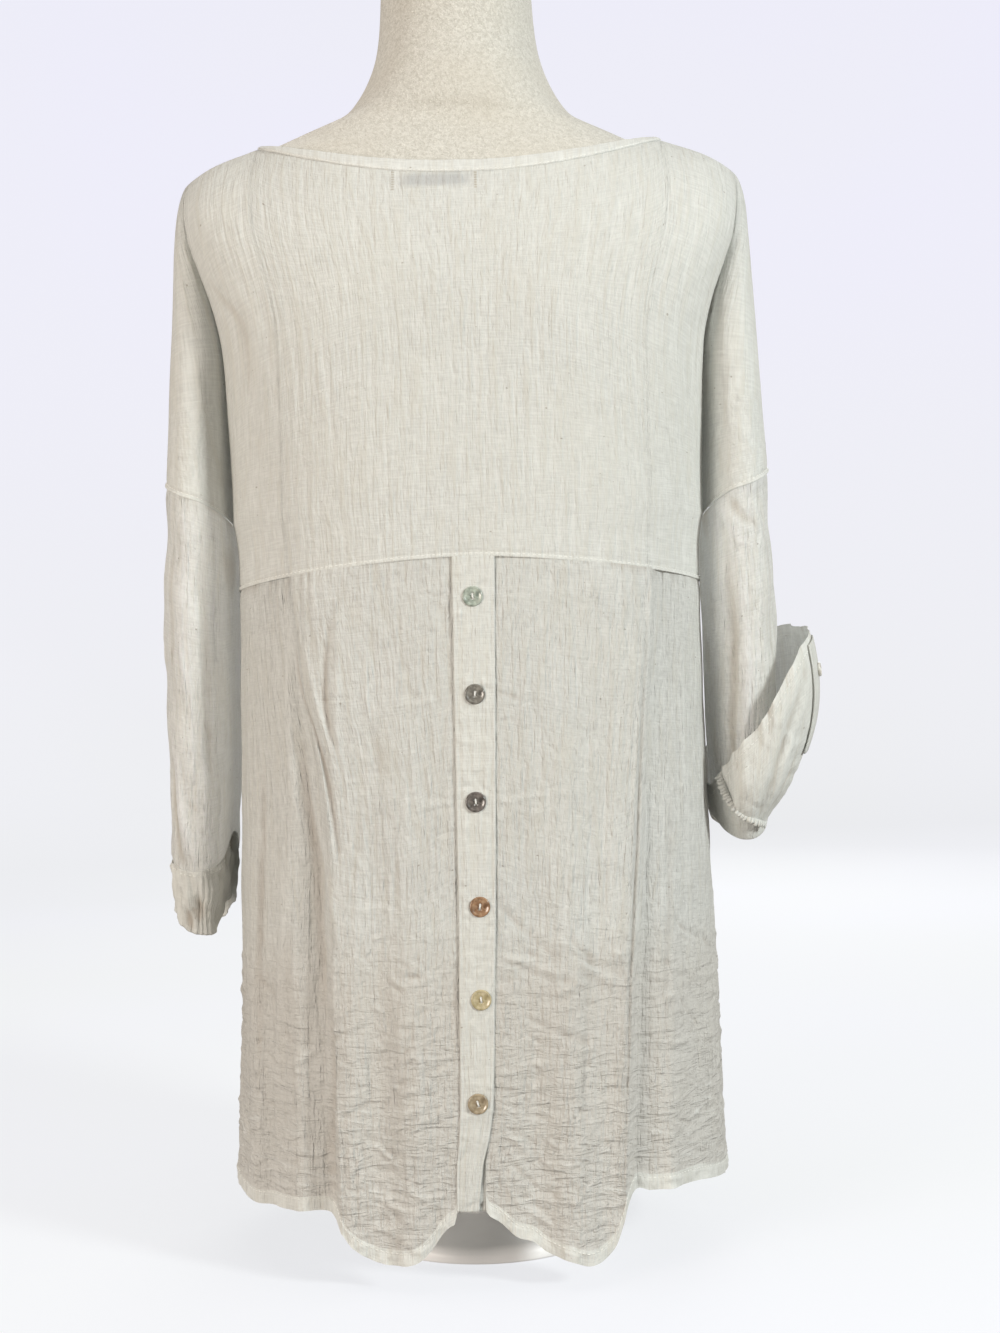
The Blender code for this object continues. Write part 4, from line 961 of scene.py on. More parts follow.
def lathe(name, outline, segments, material, bump=None):
    """Turned piece from (radius, height) pairs that start and end on the axis."""
    points = []
    rings = []
    for radius, height in outline:
        if radius == 0:
            rings.append([len(points)] * segments)
            points.append((0.0, 0.0, height))
            continue
        rings.append(list(range(len(points), len(points) + segments)))
        for n in range(segments):
            angle = 2 * math.pi * n / segments
            x, y = radius * math.cos(angle), radius * math.sin(angle)
            points.append((x, y, height + (bump(x, y, height) if bump else 0.0)))
    faces = []
    for low, high in zip(rings, rings[1:]):
        for n in range(segments):
            after = (n + 1) % segments
            faces.append(tuple(dict.fromkeys((low[n], low[after], high[after], high[n]))))
    mesh = bpy.data.meshes.new(name)
    mesh.from_pydata(points, [], faces)
    work = bmesh.new()
    work.from_mesh(mesh)
    bmesh.ops.recalc_face_normals(work, faces=work.faces)
    work.to_mesh(mesh)
    work.free()
    mesh.materials.append(material)
    mesh.shade_smooth()
    thing = bpy.data.objects.new(name, mesh)
    bpy.context.collection.objects.link(thing)
    return thing


# ---------------------------------------------------------------- materials
class Nodes:
    """Short way to write a material's nodes."""

    def __init__(self, name):
        self.material = bpy.data.materials.new(name)
        self.material.use_nodes = True
        self.tree = self.material.node_tree
        self.tree.nodes.clear()

    def add(self, kind, inputs=None, **settings):
        node = self.tree.nodes.new(kind)
        for key, value in settings.items():
            setattr(node, key, value)
        for key, value in (inputs or {}).items():
            if hasattr(value, "is_output"):
                self.tree.links.new(value, node.inputs[key])
            else:
                node.inputs[key].default_value = value
        return node

    def noise(self, vector, scale, detail=2.0, roughness=0.5, kind="FBM", distortion=0.0):
        node = self.add("ShaderNodeTexNoise", {"Vector": vector, "Scale": scale, "Detail": detail,
                                               "Roughness": roughness, "Distortion": distortion})
        node.noise_type = kind
        return node.outputs["Fac"]

    def stretch(self, vector, scale):
        return self.add("ShaderNodeMapping", {"Vector": vector, "Scale": scale}).outputs["Vector"]

    def ramp(self, value, low, high, a=0.0, b=1.0):
        node = self.add("ShaderNodeMapRange", {"Value": value, "From Min": low, "From Max": high,
                                               "To Min": a, "To Max": b})
        return node.outputs["Result"]

    def math(self, operation, a, b=0.0):
        return self.add("ShaderNodeMath", {0: a, 1: b}, operation=operation).outputs[0]

    def blend(self, share, a, b, mode="MIX"):
        node = self.add("ShaderNodeMix", data_type="RGBA", blend_type=mode)
        for key, value in ((0, share), (6, a), (7, b)):
            if hasattr(value, "is_output"):
                self.tree.links.new(value, node.inputs[key])
            else:
                node.inputs[key].default_value = value if key == 0 else (*value, 1.0)
        return node.outputs[2]

    def bump(self, height, distance, strength=1.0, normal=None):
        inputs = {"Height": height, "Distance": distance, "Strength": strength}
        if normal is not None:
            inputs["Normal"] = normal
        return self.add("ShaderNodeBump", inputs).outputs["Normal"]

    def finish(self, shader):
        out = self.add("ShaderNodeOutputMaterial")
        self.tree.links.new(shader, out.inputs["Surface"])
        return self.material


def shows_label(n, place, shade):
    """The sewn-in label seen through the cloth: a grey blur of painted shade between two rows of stitches."""
    x, y, z = n.add("ShaderNodeSeparateXYZ", {0: place}).outputs
    away = n.math("ABSOLUTE", n.math("SUBTRACT", x, LABEL_CENTRE))
    high = n.math("SUBTRACT", z, LABEL_SEEN)
    level = n.math("ABSOLUTE", high)
    back = n.ramp(y, -0.02, -0.03)
    ends = n.math("MULTIPLY", n.ramp(n.math("ABSOLUTE", n.math("SUBTRACT", away, LABEL_HALF_WIDTH)), 0.0016, 0.0006),
                  n.ramp(level, 0.0090, 0.0080))
    stitch = n.ramp(n.math("SINE", n.math("MULTIPLY", z, 2900.0)), -0.4, 0.4, 0.35, 1.0)
    ends = n.math("MULTIPLY", n.math("MULTIPLY", ends, back), stitch)
    # Painted shade: a grey blur where the label shows through the cloth.
    blur = n.math("MULTIPLY", n.ramp(away, LABEL_HALF_WIDTH, 0.6 * LABEL_HALF_WIDTH), n.ramp(level, 0.0075, 0.003))
    blur = n.math("MULTIPLY", n.math("MULTIPLY", blur, back), 0.52)
    shade = n.blend(blur, shade, (0.42, 0.43, 0.44))
    return n.blend(n.math("MULTIPLY", ends, 0.55), shade, (0.36, 0.30, 0.22))


def linen(name, colour, trough_shade_colour, through, crinkle, lower_painted_shading=False, see_label=False):
    """Linen gauze: warp and weft, crinkles along the warp, slubs and flecks, with painted shade in the furrows and
    painted highlights on the ridges.
    """
    n = Nodes(name)
    cloth = n.add("ShaderNodeUVMap", uv_map="cloth").outputs["UV"]
    place = n.add("ShaderNodeTexCoord").outputs["Object"]
    warp = n.noise(n.stretch(cloth, (820.0, 70.0, 1.0)), 1.0, 1.0, 0.55)
    weft = n.noise(n.stretch(cloth, (70.0, 820.0, 1.0)), 1.0, 1.0, 0.55)
    slub = n.noise(n.stretch(cloth, (38.0, 900.0, 1.0)), 1.0, 0.0)
    slub_down = n.noise(n.stretch(cloth, (900.0, 34.0, 1.0)), 1.0, 0.0)
    patch = n.noise(place, 9.0, 2.0, 0.5)
    long_crinkle = n.noise(n.stretch(cloth, (210.0, 17.0, 1.0)), 1.0, 3.0, 0.6, distortion=0.35)
    short_crinkle = n.noise(n.stretch(cloth, (420.0, 120.0, 1.0)), 1.0, 2.0, 0.55, distortion=0.8)
    crush = n.noise(place, 70.0, 3.0, 0.55, distortion=0.5)
    fleck = n.noise(n.stretch(cloth, (260.0, 380.0, 1.0)), 1.0, 0.0)

    threads = n.math("ADD", n.math("MULTIPLY", warp, 0.5), n.math("MULTIPLY", weft, 0.5))
    shade = n.blend(n.ramp(threads, 0.38, 0.62), tuple(0.87 * c for c in colour), tuple(1.02 * c for c in colour))
    # Painted shade: a warmer, darker colour in the crinkle furrows.
    furrow_shade = (0.90 * colour[0], 0.875 * colour[1], 0.83 * colour[2])
    shade = n.blend(n.ramp(long_crinkle, 0.50, 0.36, 0.0, 0.50), shade, furrow_shade)
    shade = n.blend(n.ramp(patch, 0.40, 0.66, 0.0, 0.30), shade, (0.96 * colour[0], 0.945 * colour[1], 0.91 * colour[2]))
    # A lighter colour: painted highlight on crinkle ridges, crease ridges and the lower skirt's waves, and the
    # slubs' own lighter thread.
    light = tuple(min(1.09 * c, 0.90) for c in colour)
    # Painted highlight on the crinkle ridges.
    shade = n.blend(n.ramp(long_crinkle, 0.56, 0.70, 0.0, 0.55), shade, light)
    shade = n.blend(n.ramp(slub, 0.72, 0.80, 0.0, 0.40), shade, light)
    shade = n.blend(n.ramp(slub_down, 0.72, 0.80, 0.0, 0.40), shade, light)
    shade = n.blend(n.ramp(fleck, 0.862, 0.880, 0.0, 0.50), shade, (0.22, 0.17, 0.12))
    # Painted shade in the crease troughs and painted highlight on the crease ridges, read from the fold relief.
    fold = n.add("ShaderNodeAttribute", attribute_name="fold").outputs["Fac"]
    shade = n.blend(n.ramp(fold, -0.0003, -0.0022, 0.0, 0.60), shade, trough_shade_colour)
    shade = n.blend(n.ramp(fold, 0.0002, 0.0016, 0.0, 0.50), shade, light)
    if lower_painted_shading:
        # Painted shade: the skirt cloth turns darker from about 0.26 m down to 0.22 m, below the form's lower edge,
        # along an uneven line.
        height = n.add("ShaderNodeSeparateXYZ", {0: place}).outputs["Z"]
        edge = n.math("ADD", height, n.ramp(patch, 0.0, 1.0, -0.012, 0.012))
        shade = n.blend(n.ramp(edge, 0.262, 0.215, 0.0, 0.60), shade, (0.86 * colour[0], 0.82 * colour[1], 0.79 * colour[2]))
    if see_label:
        shade = shows_label(n, place, shade)
    if lower_painted_shading:
        # Painted highlight: light wavy bands on the lower skirt, on the same waves as its bump.
        wavy = n.noise(n.stretch(place, (38.0, 38.0, 170.0)), 1.0, 3.0, 0.6, distortion=0.9)
        low = n.math("MULTIPLY", wavy, n.ramp(height, 0.33, 0.12))
        shade = n.blend(n.ramp(low, 0.56, 0.72, 0.0, 0.6), shade, light)
    relief = n.bump(threads, 0.00050, 0.8)
    relief = n.bump(short_crinkle, 0.0012, 0.8 * crinkle, relief)
    relief = n.bump(crush, 0.0024, 0.8 * crinkle, relief)
    relief = n.bump(long_crinkle, 0.0028, crinkle, relief)
    if lower_painted_shading:
        relief = n.bump(low, 0.0034, 1.0, relief)
    body = n.add("ShaderNodeBsdfPrincipled", {"Base Color": shade, "Roughness": 0.88,
                                              "Specular IOR Level": 0.25, "Sheen Weight": 0.15,
                                              "Sheen Roughness": 0.45, "Normal": relief})
    glow = n.add("ShaderNodeBsdfTranslucent", {"Color": shade, "Normal": relief})
    both = n.add("ShaderNodeMixShader", {0: through, 1: body.outputs[0], 2: glow.outputs[0]})
    return n.finish(both.outputs[0])


def thread_material():
    n = Nodes("thread")
    place = n.add("ShaderNodeTexCoord").outputs["Object"]
    twist = n.noise(place, 1800.0, 1.0)
    shade = n.blend(n.ramp(twist, 0.35, 0.65), (0.76, 0.76, 0.72), (0.90, 0.90, 0.87))
    body = n.add("ShaderNodeBsdfPrincipled", {"Base Color": shade, "Roughness": 0.75,
                                              "Normal": n.bump(twist, 0.0002, 0.6)})
    return n.finish(body.outputs[0])


def flock_material():
    """Pile cover with light and dark specks."""
    n = Nodes("flock")
    place = n.add("ShaderNodeTexCoord").outputs["Object"]
    speck = n.noise(place, 900.0, 2.0, 0.7)
    clump = n.noise(place, 330.0, 2.0, 0.6)
    broad = n.noise(place, 14.0, 2.0)
    shade = n.blend(n.ramp(clump, 0.35, 0.65), (0.50, 0.485, 0.435), (0.63, 0.615, 0.565))
    shade = n.blend(n.ramp(speck, 0.56, 0.70, 0.0, 0.85), shade, (0.78, 0.76, 0.69))
    shade = n.blend(n.ramp(speck, 0.42, 0.30, 0.0, 0.60), shade, (0.36, 0.33, 0.28))
    shade = n.blend(n.ramp(broad, 0.40, 0.65, 0.0, 0.30), shade, (0.56, 0.52, 0.44))
    relief = n.bump(speck, 0.0008, 0.8)
    relief = n.bump(clump, 0.0014, 0.5, relief)
    body = n.add("ShaderNodeBsdfPrincipled", {"Base Color": shade, "Roughness": 0.9,
                                              "Sheen Weight": 0.35, "Sheen Roughness": 0.5,
                                              "Normal": relief})
    return n.finish(body.outputs[0])


def tape_material():
    n = Nodes("label_tape")
    cloth = n.add("ShaderNodeUVMap", uv_map="cloth").outputs["UV"]
    weave = n.noise(n.stretch(cloth, (900.0, 2200.0, 1.0)), 1.0, 1.0)
    shade = n.blend(n.ramp(weave, 0.35, 0.65), (0.55, 0.55, 0.56), (0.68, 0.68, 0.68))
    body = n.add("ShaderNodeBsdfPrincipled", {"Base Color": shade, "Roughness": 0.6,
                                              "Sheen Weight": 0.2, "Normal": n.bump(weave, 0.0002, 0.7)})
    return n.finish(body.outputs[0])


def shell_material(name, dark, light, glint):
    """Polished shell: cloudy layers with a little coloured glint."""
    n = Nodes(name)
    place = n.add("ShaderNodeTexCoord").outputs["Object"]
    cloud = n.noise(place, 170.0, 2.0, 0.5, distortion=0.5)
    layer = n.noise(n.stretch(place, (1.0, 1.0, 3.5)), 240.0, 1.0, 0.5, distortion=0.6)
    shade = n.blend(n.ramp(cloud, 0.36, 0.64), dark, light)
    shade = n.blend(n.ramp(layer, 0.46, 0.76, 0.0, 0.40), shade, glint)
    rough = n.ramp(layer, 0.3, 0.7, 0.16, 0.34)
    body = n.add("ShaderNodeBsdfPrincipled", {"Base Color": shade, "Roughness": rough,
                                              "Specular IOR Level": 0.6, "Coat Weight": 0.5,
                                              "Coat Roughness": 0.08,
                                              "Normal": n.bump(layer, 0.0002, 0.3)})
    return n.finish(body.outputs[0])


def paint_material():
    n = Nodes("stand_paint")
    place = n.add("ShaderNodeTexCoord").outputs["Object"]
    peel = n.noise(place, 420.0, 2.0)
    wear = n.noise(place, 26.0, 3.0)
    shade = n.blend(n.ramp(wear, 0.40, 0.68), (0.92, 0.925, 0.93), (0.88, 0.88, 0.885))
    body = n.add("ShaderNodeBsdfPrincipled", {"Base Color": shade, "Roughness": n.ramp(wear, 0.3, 0.7, 0.34, 0.5),
                                              "Normal": n.bump(peel, 0.0002, 0.25)})
    return n.finish(body.outputs[0])


def studio_material():
    n = Nodes("studio")
    place = n.add("ShaderNodeTexCoord").outputs["Object"]
    height = n.add("ShaderNodeSeparateXYZ", {0: place}).outputs["Z"]
    tint = n.blend(n.ramp(height, 0.0, 1.6), (0.79, 0.805, 0.82), (0.80, 0.80, 0.915))
    soft = n.noise(place, 1.3, 1.0)
    tint = n.blend(n.ramp(soft, 0.3, 0.7, 0.0, 0.5), tint, (0.80, 0.81, 0.87))
    lit = n.add("ShaderNodeEmission", {"Color": tint, "Strength": 1.24})
    body = n.add("ShaderNodeBsdfDiffuse", {"Color": tint})
    both = n.add("ShaderNodeMixShader", {0: 0.30, 1: lit.outputs[0], 2: body.outputs[0]})
    material = n.finish(both.outputs[0])
    material.cycles.emission_sampling = "NONE"
    return material


# ---------------------------------------------------------------- pieces
def cloth_columns():
    limit = column_of(NECK_HALF)
    body = steps(0.0, limit, 38) + steps(limit, VALLEY_U, 12)[1:]
    half = body + steps(VALLEY_U, 1.0, 18)[1:]
    return [-u for u in reversed(half)] + half[1:]


def binding_level(point, u):
    """Level where a column has come down by the binding's depth."""
    u = min(abs(u), column_of(NECK_HALF))
    top = np.array(point(u, 0.0))
    low, high = 0.0, 0.4
    for _ in range(24):
        middle = (low + high) / 2
        if np.linalg.norm(np.array(point(u, middle)) - top) < BINDING_DEPTH:
            low = middle
        else:
            high = middle
    return low


def refined(rows, closed=False):
    grid = np.array(rows, dtype=float)
    for _ in range(FINE - 1):
        grid = between(between(grid, 0), 1, closed)
    return grid


def fine_rows(count):
    """Number of rows left of a count after the grid is refined."""
    for _ in range(FINE - 1):
        count = 2 * count - 1
    return count


def edge_lengths(grid, from_end):
    """Length along each column from its last or first row."""
    pieces = np.linalg.norm(np.diff(grid, axis=0), axis=2)
    zero = np.zeros((1, grid.shape[1]))
    if from_end:
        return np.concatenate((np.cumsum(pieces[::-1], axis=0)[::-1], zero))
    return np.concatenate((zero, np.cumsum(pieces, axis=0)))


def line_at(grid, normals, lengths, distance, columns):
    """Points and normals at a distance along each of some columns."""
    path = []
    ups = []
    for c in columns:
        run = lengths[:, c]
        order = np.argsort(run)
        path.append([np.interp(distance, run[order], grid[order, c, k]) for k in range(3)])
        ups.append([np.interp(distance, run[order], normals[order, c, k]) for k in range(3)])
    return path, ups


def bell(distance, width):
    return np.exp(-((distance / width) ** 2))


def panel(point, columns, upper_count, lower_levels):
    starts = [binding_level(point, u) for u in columns]
    rows = [[point(u, start * share) for u, start in zip(columns, starts)]
            for share in steps(0.0, 1.0, 3)]
    for level in steps(0.0, 1.0, upper_count)[1:]:
        rows.append([point(u, mix(start, 1.0, level)) for u, start in zip(columns, starts)])
    above = len(rows)
    rows += [[point(u, v) for u in columns] for v in lower_levels]
    grid = refined(rows)
    above = fine_rows(above)
    if FINE > 1:
        us = finer(columns)
        for c in range(1, len(us) - 1):
            if abs(us[c - 1]) <= VALLEY_U + 1e-9 and abs(us[c + 1]) <= VALLEY_U + 1e-9 and c % 2:
                if max(abs(us[c - 1]), abs(us[c + 1])) > VALLEY_U - 1e-9:
                    grid[above:, c] = (grid[above:, c - 1] + grid[above:, c + 1]) / 2
    return grid, above


def panel_keep(us, above):
    def keep(r, c):
        return r < above - 1 or abs((us[c] + us[c + 1]) / 2) < VALLEY_U
    return keep


def upper_weight(grid, above):
    """0 at the neckline and shoulder line, 1 a little below them."""
    down = edge_lengths(grid, False)
    return np.clip((down - 0.0125) / 0.012, 0.0, 1.0)


def bottom_lengths(grid, us, above):
    """Length to the lower edge; a sleeve column ends at the dropped seam."""
    down = edge_lengths(grid, True)
    arm = edge_lengths(grid[:above], True)
    lobes = np.abs(us) > VALLEY_U + 1e-9
    down[:above, lobes] = arm[:, lobes]
    down[above:, lobes] = 0.0
    return down, arm


def make_yoke(cloth, double, thread):
    columns = cloth_columns()
    grid, above = panel(yoke_point, columns, 84, steps(1.0, 2.0, 14)[1:])
    us = finer(columns)
    normals = outward_normals(grid)
    weight = upper_weight(grid, above).ravel()
    down, arm = bottom_lengths(grid, us, above)
    points = grid.reshape(-1, 3)
    flat_normals = normals.reshape(-1, 3)
    rng = np.random.default_rng(SEED)
    relief = swell(points, rng, 7, 0.05, 0.16, 0.0006)
    broad = relief.copy()
    press_all(points, relief, YOKE_CREASES, lambda x, z: on_sheet(points, x, z))
    arms = np.abs(points[:, 0]) > 0.185
    scatter(points, flat_normals, relief, rng, 30, arms, (0.02, 0.06), (55, 88), (0.0022, 0.0036),
            (0.0003, 0.0008))
    body = ~arms & (points[:, 2] < 0.80)
    scatter(points, flat_normals, relief, rng, 36, body, (0.03, 0.12), (78, 92), (0.0022, 0.0040),
            (0.00010, 0.00030))
    left = body & (points[:, 0] < -0.07)
    scatter(points, flat_normals, relief, rng, 48, left, (0.03, 0.14), (82, 92), (0.0016, 0.0028),
            (0.00025, 0.00060))
    relief *= weight
    edge = down.ravel()
    relief += 0.0012 * bell(edge - 0.0010, 0.0010) - 0.0006 * bell(edge - 0.0036, 0.0011)
    grid = (points + flat_normals * relief[:, None]).reshape(grid.shape)
    yoke = shell("yoke_cloth", grid, (cloth, double), keep=panel_keep(us, above), relief=relief - broad,
                 material_of=lambda r, c: int(down[r + 1, c] < 0.0016 and abs(us[c]) < VALLEY_U))
    settle(yoke, "linen", "back_yoke")
    body_columns = [c for c in range(len(us)) if abs(us[c]) < VALLEY_U - 0.004]
    empire = stitch_row("empire_stitches", *line_at(grid, normals, down, 0.0024, body_columns), thread)
    for side, name in ((-1, "left"), (1, "right")):
        lobe = [c for c in range(len(us)) if side * us[c] > VALLEY_U + 0.004]
        path = line_at(grid[:above], normals[:above], arm, 0.0032, lobe)
        stitch_row(f"armhole_stitches_{name}_back", *path, thread)
        ends = [c for c in range(len(us)) if side * us[c] > column_of(NECK_HALF) + 0.01]
        path = line_at(grid, normals, edge_lengths(grid, False), 0.0040, ends)
        stitch_row(f"shoulder_stitches_{name}", *path, thread)
    return yoke


def hem_relief(distance, xs, wave):
    """Folded hem: one layer more over its depth, a stitched line, and a wavy edge."""
    fold = 0.0005 / (1 + np.exp((distance - 0.0100) / 0.0003)) - 0.0005 * bell(distance - 0.0088, 0.0008)
    ripple = np.sin(xs * 2 * math.pi / 0.027 + 1.3 * np.sin(xs * 90.0)) * np.exp(-distance / 0.016)
    return fold + wave * ripple


def make_front(cloth, double, thread):
    columns = cloth_columns()
    lower = steps(1.0, 2.0, 110)[1:]
    grid, above = panel(front_point, columns, 62, lower)
    us = finer(columns)
    normals = outward_normals(grid)
    weight = upper_weight(grid, above).ravel()
    down, arm = bottom_lengths(grid, us, above)
    points = grid.reshape(-1, 3)
    flat_normals = normals.reshape(-1, 3)
    rng = np.random.default_rng(SEED + 1)
    relief = swell(points, rng, 8, 0.05, 0.18, 0.0010)
    broad = relief.copy()
    press_all(points, relief, FRONT_CREASES, lambda x, z: on_sheet(points, x, z))
    low = points[:, 2] < 0.27
    scatter(points, flat_normals, relief, rng, 150, low, (0.015, 0.055), (0, 40), (0.0020, 0.0034),
            (0.0003, 0.0009))
    rest = (points[:, 2] < 0.74) & ~low
    scatter(points, flat_normals, relief, rng, 90, rest, (0.02, 0.10), (40, 90), (0.0022, 0.0040),
            (0.0002, 0.0007))
    relief *= weight
    edge = down.ravel()
    lobes = np.broadcast_to(np.abs(us) > VALLEY_U, down.shape).ravel()
    hem = hem_relief(edge, points[:, 0], 0.0009)
    seam = 0.0007 * bell(edge - 0.0010, 0.0013)
    relief += np.where(lobes, seam, hem)
    grid = (points + flat_normals * relief[:, None]).reshape(grid.shape)
    front = shell("front_cloth", grid, (cloth, double), keep=panel_keep(us, above), relief=relief - broad,
                  material_of=lambda r, c: int(down[r + 1, c] < 0.0102 and abs(us[c]) < VALLEY_U))
    settle(front, "linen", "front_panel")
    inner = [c for c in range(len(us)) if abs(us[c]) < VALLEY_U - 0.004]
    parts = [stitch_row("front_hem_stitches", *line_at(grid, normals, down, 0.0088, inner), thread)]
    for side, name in ((-1, "left"), (1, "right")):
        lobe = [c for c in range(len(us)) if side * us[c] > VALLEY_U + 0.004]
        path = line_at(grid[:above], normals[:above], arm, 0.0032, lobe)
        parts.append(stitch_row(f"armhole_stitches_{name}_front", *path, thread))
    return front


def make_skirt(side, name, creases, seed, cloth, double, thread):
    near = [PLEAT_U + step for step in (0.012, 0.024, 0.036, 0.052, 0.072)]
    columns = steps(0.0, PLEAT_U, 40) + near + steps(PLEAT_U + 0.10, 1.0, 34)
    grid = sheet_grid(lambda u, v: skirt_point(side, u, v), columns, steps(0.0, 1.0, 180))
    normals = outward_normals(grid)
    top = edge_lengths(grid, False)
    bottom = edge_lengths(grid, True)
    points = grid.reshape(-1, 3)
    flat_normals = normals.reshape(-1, 3)
    xs = points[:, 0]
    zs = points[:, 2]
    rng = np.random.default_rng(seed)
    relief = swell(points, rng, 7, 0.04, 0.14, 0.0007)
    broad = relief.copy()
    press_all(points, relief, creases, lambda x, z: on_sheet(points, x, z))
    relief = broad + 1.35 * (relief - broad)
    low = zs < 0.24
    leans = (1, 1, 1, -1) if side > 0 else (-1, -1, 1)
    scatter(points, flat_normals, relief, rng, 170, low, (0.012, 0.050), (5, 42), (0.0016, 0.0026),
            (0.0006, 0.0016), leans)
    scatter(points, flat_normals, relief, rng, 40, low, (0.035, 0.080), (10, 40), (0.0026, 0.0042),
            (0.0010, 0.0022), leans)
    lowest = zs < 0.14
    scatter(points, flat_normals, relief, rng, 90, lowest, (0.010, 0.045), (0, 60), (0.0015, 0.0026),
            (0.0005, 0.0013), leans)
    middle = (zs >= 0.20) & (zs < 0.47)
    scatter(points, flat_normals, relief, rng, 90, middle, (0.015, 0.060), (0, 90), (0.0016, 0.0028),
            (0.0002, 0.0006))
    scatter(points, flat_normals, relief, rng, 60, zs < 0.47, (0.04, 0.15), (78, 92), (0.0020, 0.0040),
            (0.0003, 0.0009))
    for height in BUTTON_HEIGHTS:
        for _ in range(5):
            start = on_sheet(points, side * (abs(placket_edge(side, height)) + 0.001), height)
            reach = rng.uniform(0.015, 0.045)
            drop = rng.uniform(-0.010, 0.004) * (2 if height < 0.2 else 1)
            end = on_sheet(points, start[0] + side * reach, start[2] + drop)
            press(points, relief, smooth_path([start, (start + end) / 2, end]),
                  rng.uniform(0.0003, 0.0007) * rng.choice((-1, 1)), rng.uniform(0.0018, 0.0026))
    inner = np.clip((np.abs(xs - xs.reshape(grid.shape[:2])[:, :1].repeat(grid.shape[1], 1).ravel()))
                    / 0.006, 0.0, 1.0)
    relief *= 0.25 + 0.75 * inner
    below = top.ravel()
    relief *= np.clip(below / 0.012, 0.0, 1.0)
    spots = ((-0.165, -0.112, 0.0013),) if side < 0 else ((0.124, 0.172, 0.0008),)
    for start, end, amount in spots:
        share = np.clip((xs - start) / (end - start), 0.0, 1.0)
        window = np.sin(math.pi * share) ** 0.5
        pucker = np.sin(xs * 2 * math.pi / 0.0088 + 1.6 * np.sin(xs * 260.0))
        relief += amount * window * pucker * np.exp(-below / 0.020) * np.clip(below / 0.004, 0.0, 1.0)
    relief -= 0.0004 * bell(below, 0.0030)
    relief += hem_relief(bottom.ravel(), xs, 0.0010)
    grid = (points + flat_normals * relief[:, None]).reshape(grid.shape)
    skirt = shell(name, grid, (cloth, double), relief=relief - broad,
                  material_of=lambda r, c: int(bottom[r + 1, c] < 0.0102))
    settle(skirt, "linen", "back_skirt_left" if side < 0 else "back_skirt_right")
    line = line_at(grid, normals, bottom, 0.0088, range(2, grid.shape[1] - 1))
    hem = stitch_row(f"{name}_hem_stitches", *line, thread)
    return skirt


def make_plackets(double, thread):
    columns = steps(-0.014, 1.014, 16)
    pieces = []
    for name, lap, lift, node in (("placket_cloth_over", 0.0, 0.0005, "placket_over"),
                                  ("placket_cloth_under", PLACKET_LAP, -0.0021, "placket_under")):
        grid = sheet_grid(lambda u, v: placket_point(u, v, lap), columns, steps(0.0, 1.0, 150))
        normals = outward_normals(grid)
        points = grid.reshape(-1, 3)
        flat_normals = normals.reshape(-1, 3)
        rng = np.random.default_rng(SEED + 7)
        relief = swell(points, rng, 6, 0.02, 0.08, 0.0003)
        broad = relief.copy()
        for height, x in zip(BUTTON_HEIGHTS, BUTTON_X):
            for _ in range(9):
                away = rng.choice((-1, 1)) * rng.uniform(0.008, 0.012)
                start = on_sheet(points, x + away * 0.5, height + rng.uniform(-0.012, 0.012))
                end = on_sheet(points, x + away * 1.6, start[2] + rng.uniform(-0.006, 0.006))
                press(points, relief, smooth_path([start, (start + end) / 2, end]),
                      rng.uniform(0.0003, 0.0006) * rng.choice((-1, 1)), 0.0016)
        scatter(points, flat_normals, relief, rng, 90, points[:, 2] < 0.52, (0.006, 0.020), (0, 50),
                (0.0014, 0.0024), (0.0003, 0.0009))
        for height, x in zip(BUTTON_HEIGHTS, BUTTON_X):
            away = np.hypot(points[:, 0] - x, points[:, 2] - height)
            relief *= 1 - 0.9 * bell(away, 0.007)
        us = np.broadcast_to(finer(columns), grid.shape[:2]).ravel()
        rim = np.minimum(us, 1 - us) * 0.029
        relief += lift + 0.0003 * np.clip(rim / 0.001, 0.0, 1.0) - 0.0004 * bell(rim - 0.0026, 0.0007)
        grid = (points + flat_normals * relief[:, None]).reshape(grid.shape)
        piece = shell(name, grid, (double,), relief=relief - broad - lift, thickness=0.0008)
        settle(piece, "double_linen", node)
        pieces.append(piece)
        if lap == 0.0:
            columns_at = {"left": int(round(0.10 * (grid.shape[1] - 1))),
                          "right": int(round(0.93 * (grid.shape[1] - 1)))}
            for where, c in columns_at.items():
                stitch_row(f"placket_stitches_{where}", grid[2:, c], normals[2:, c], thread)
    return pieces


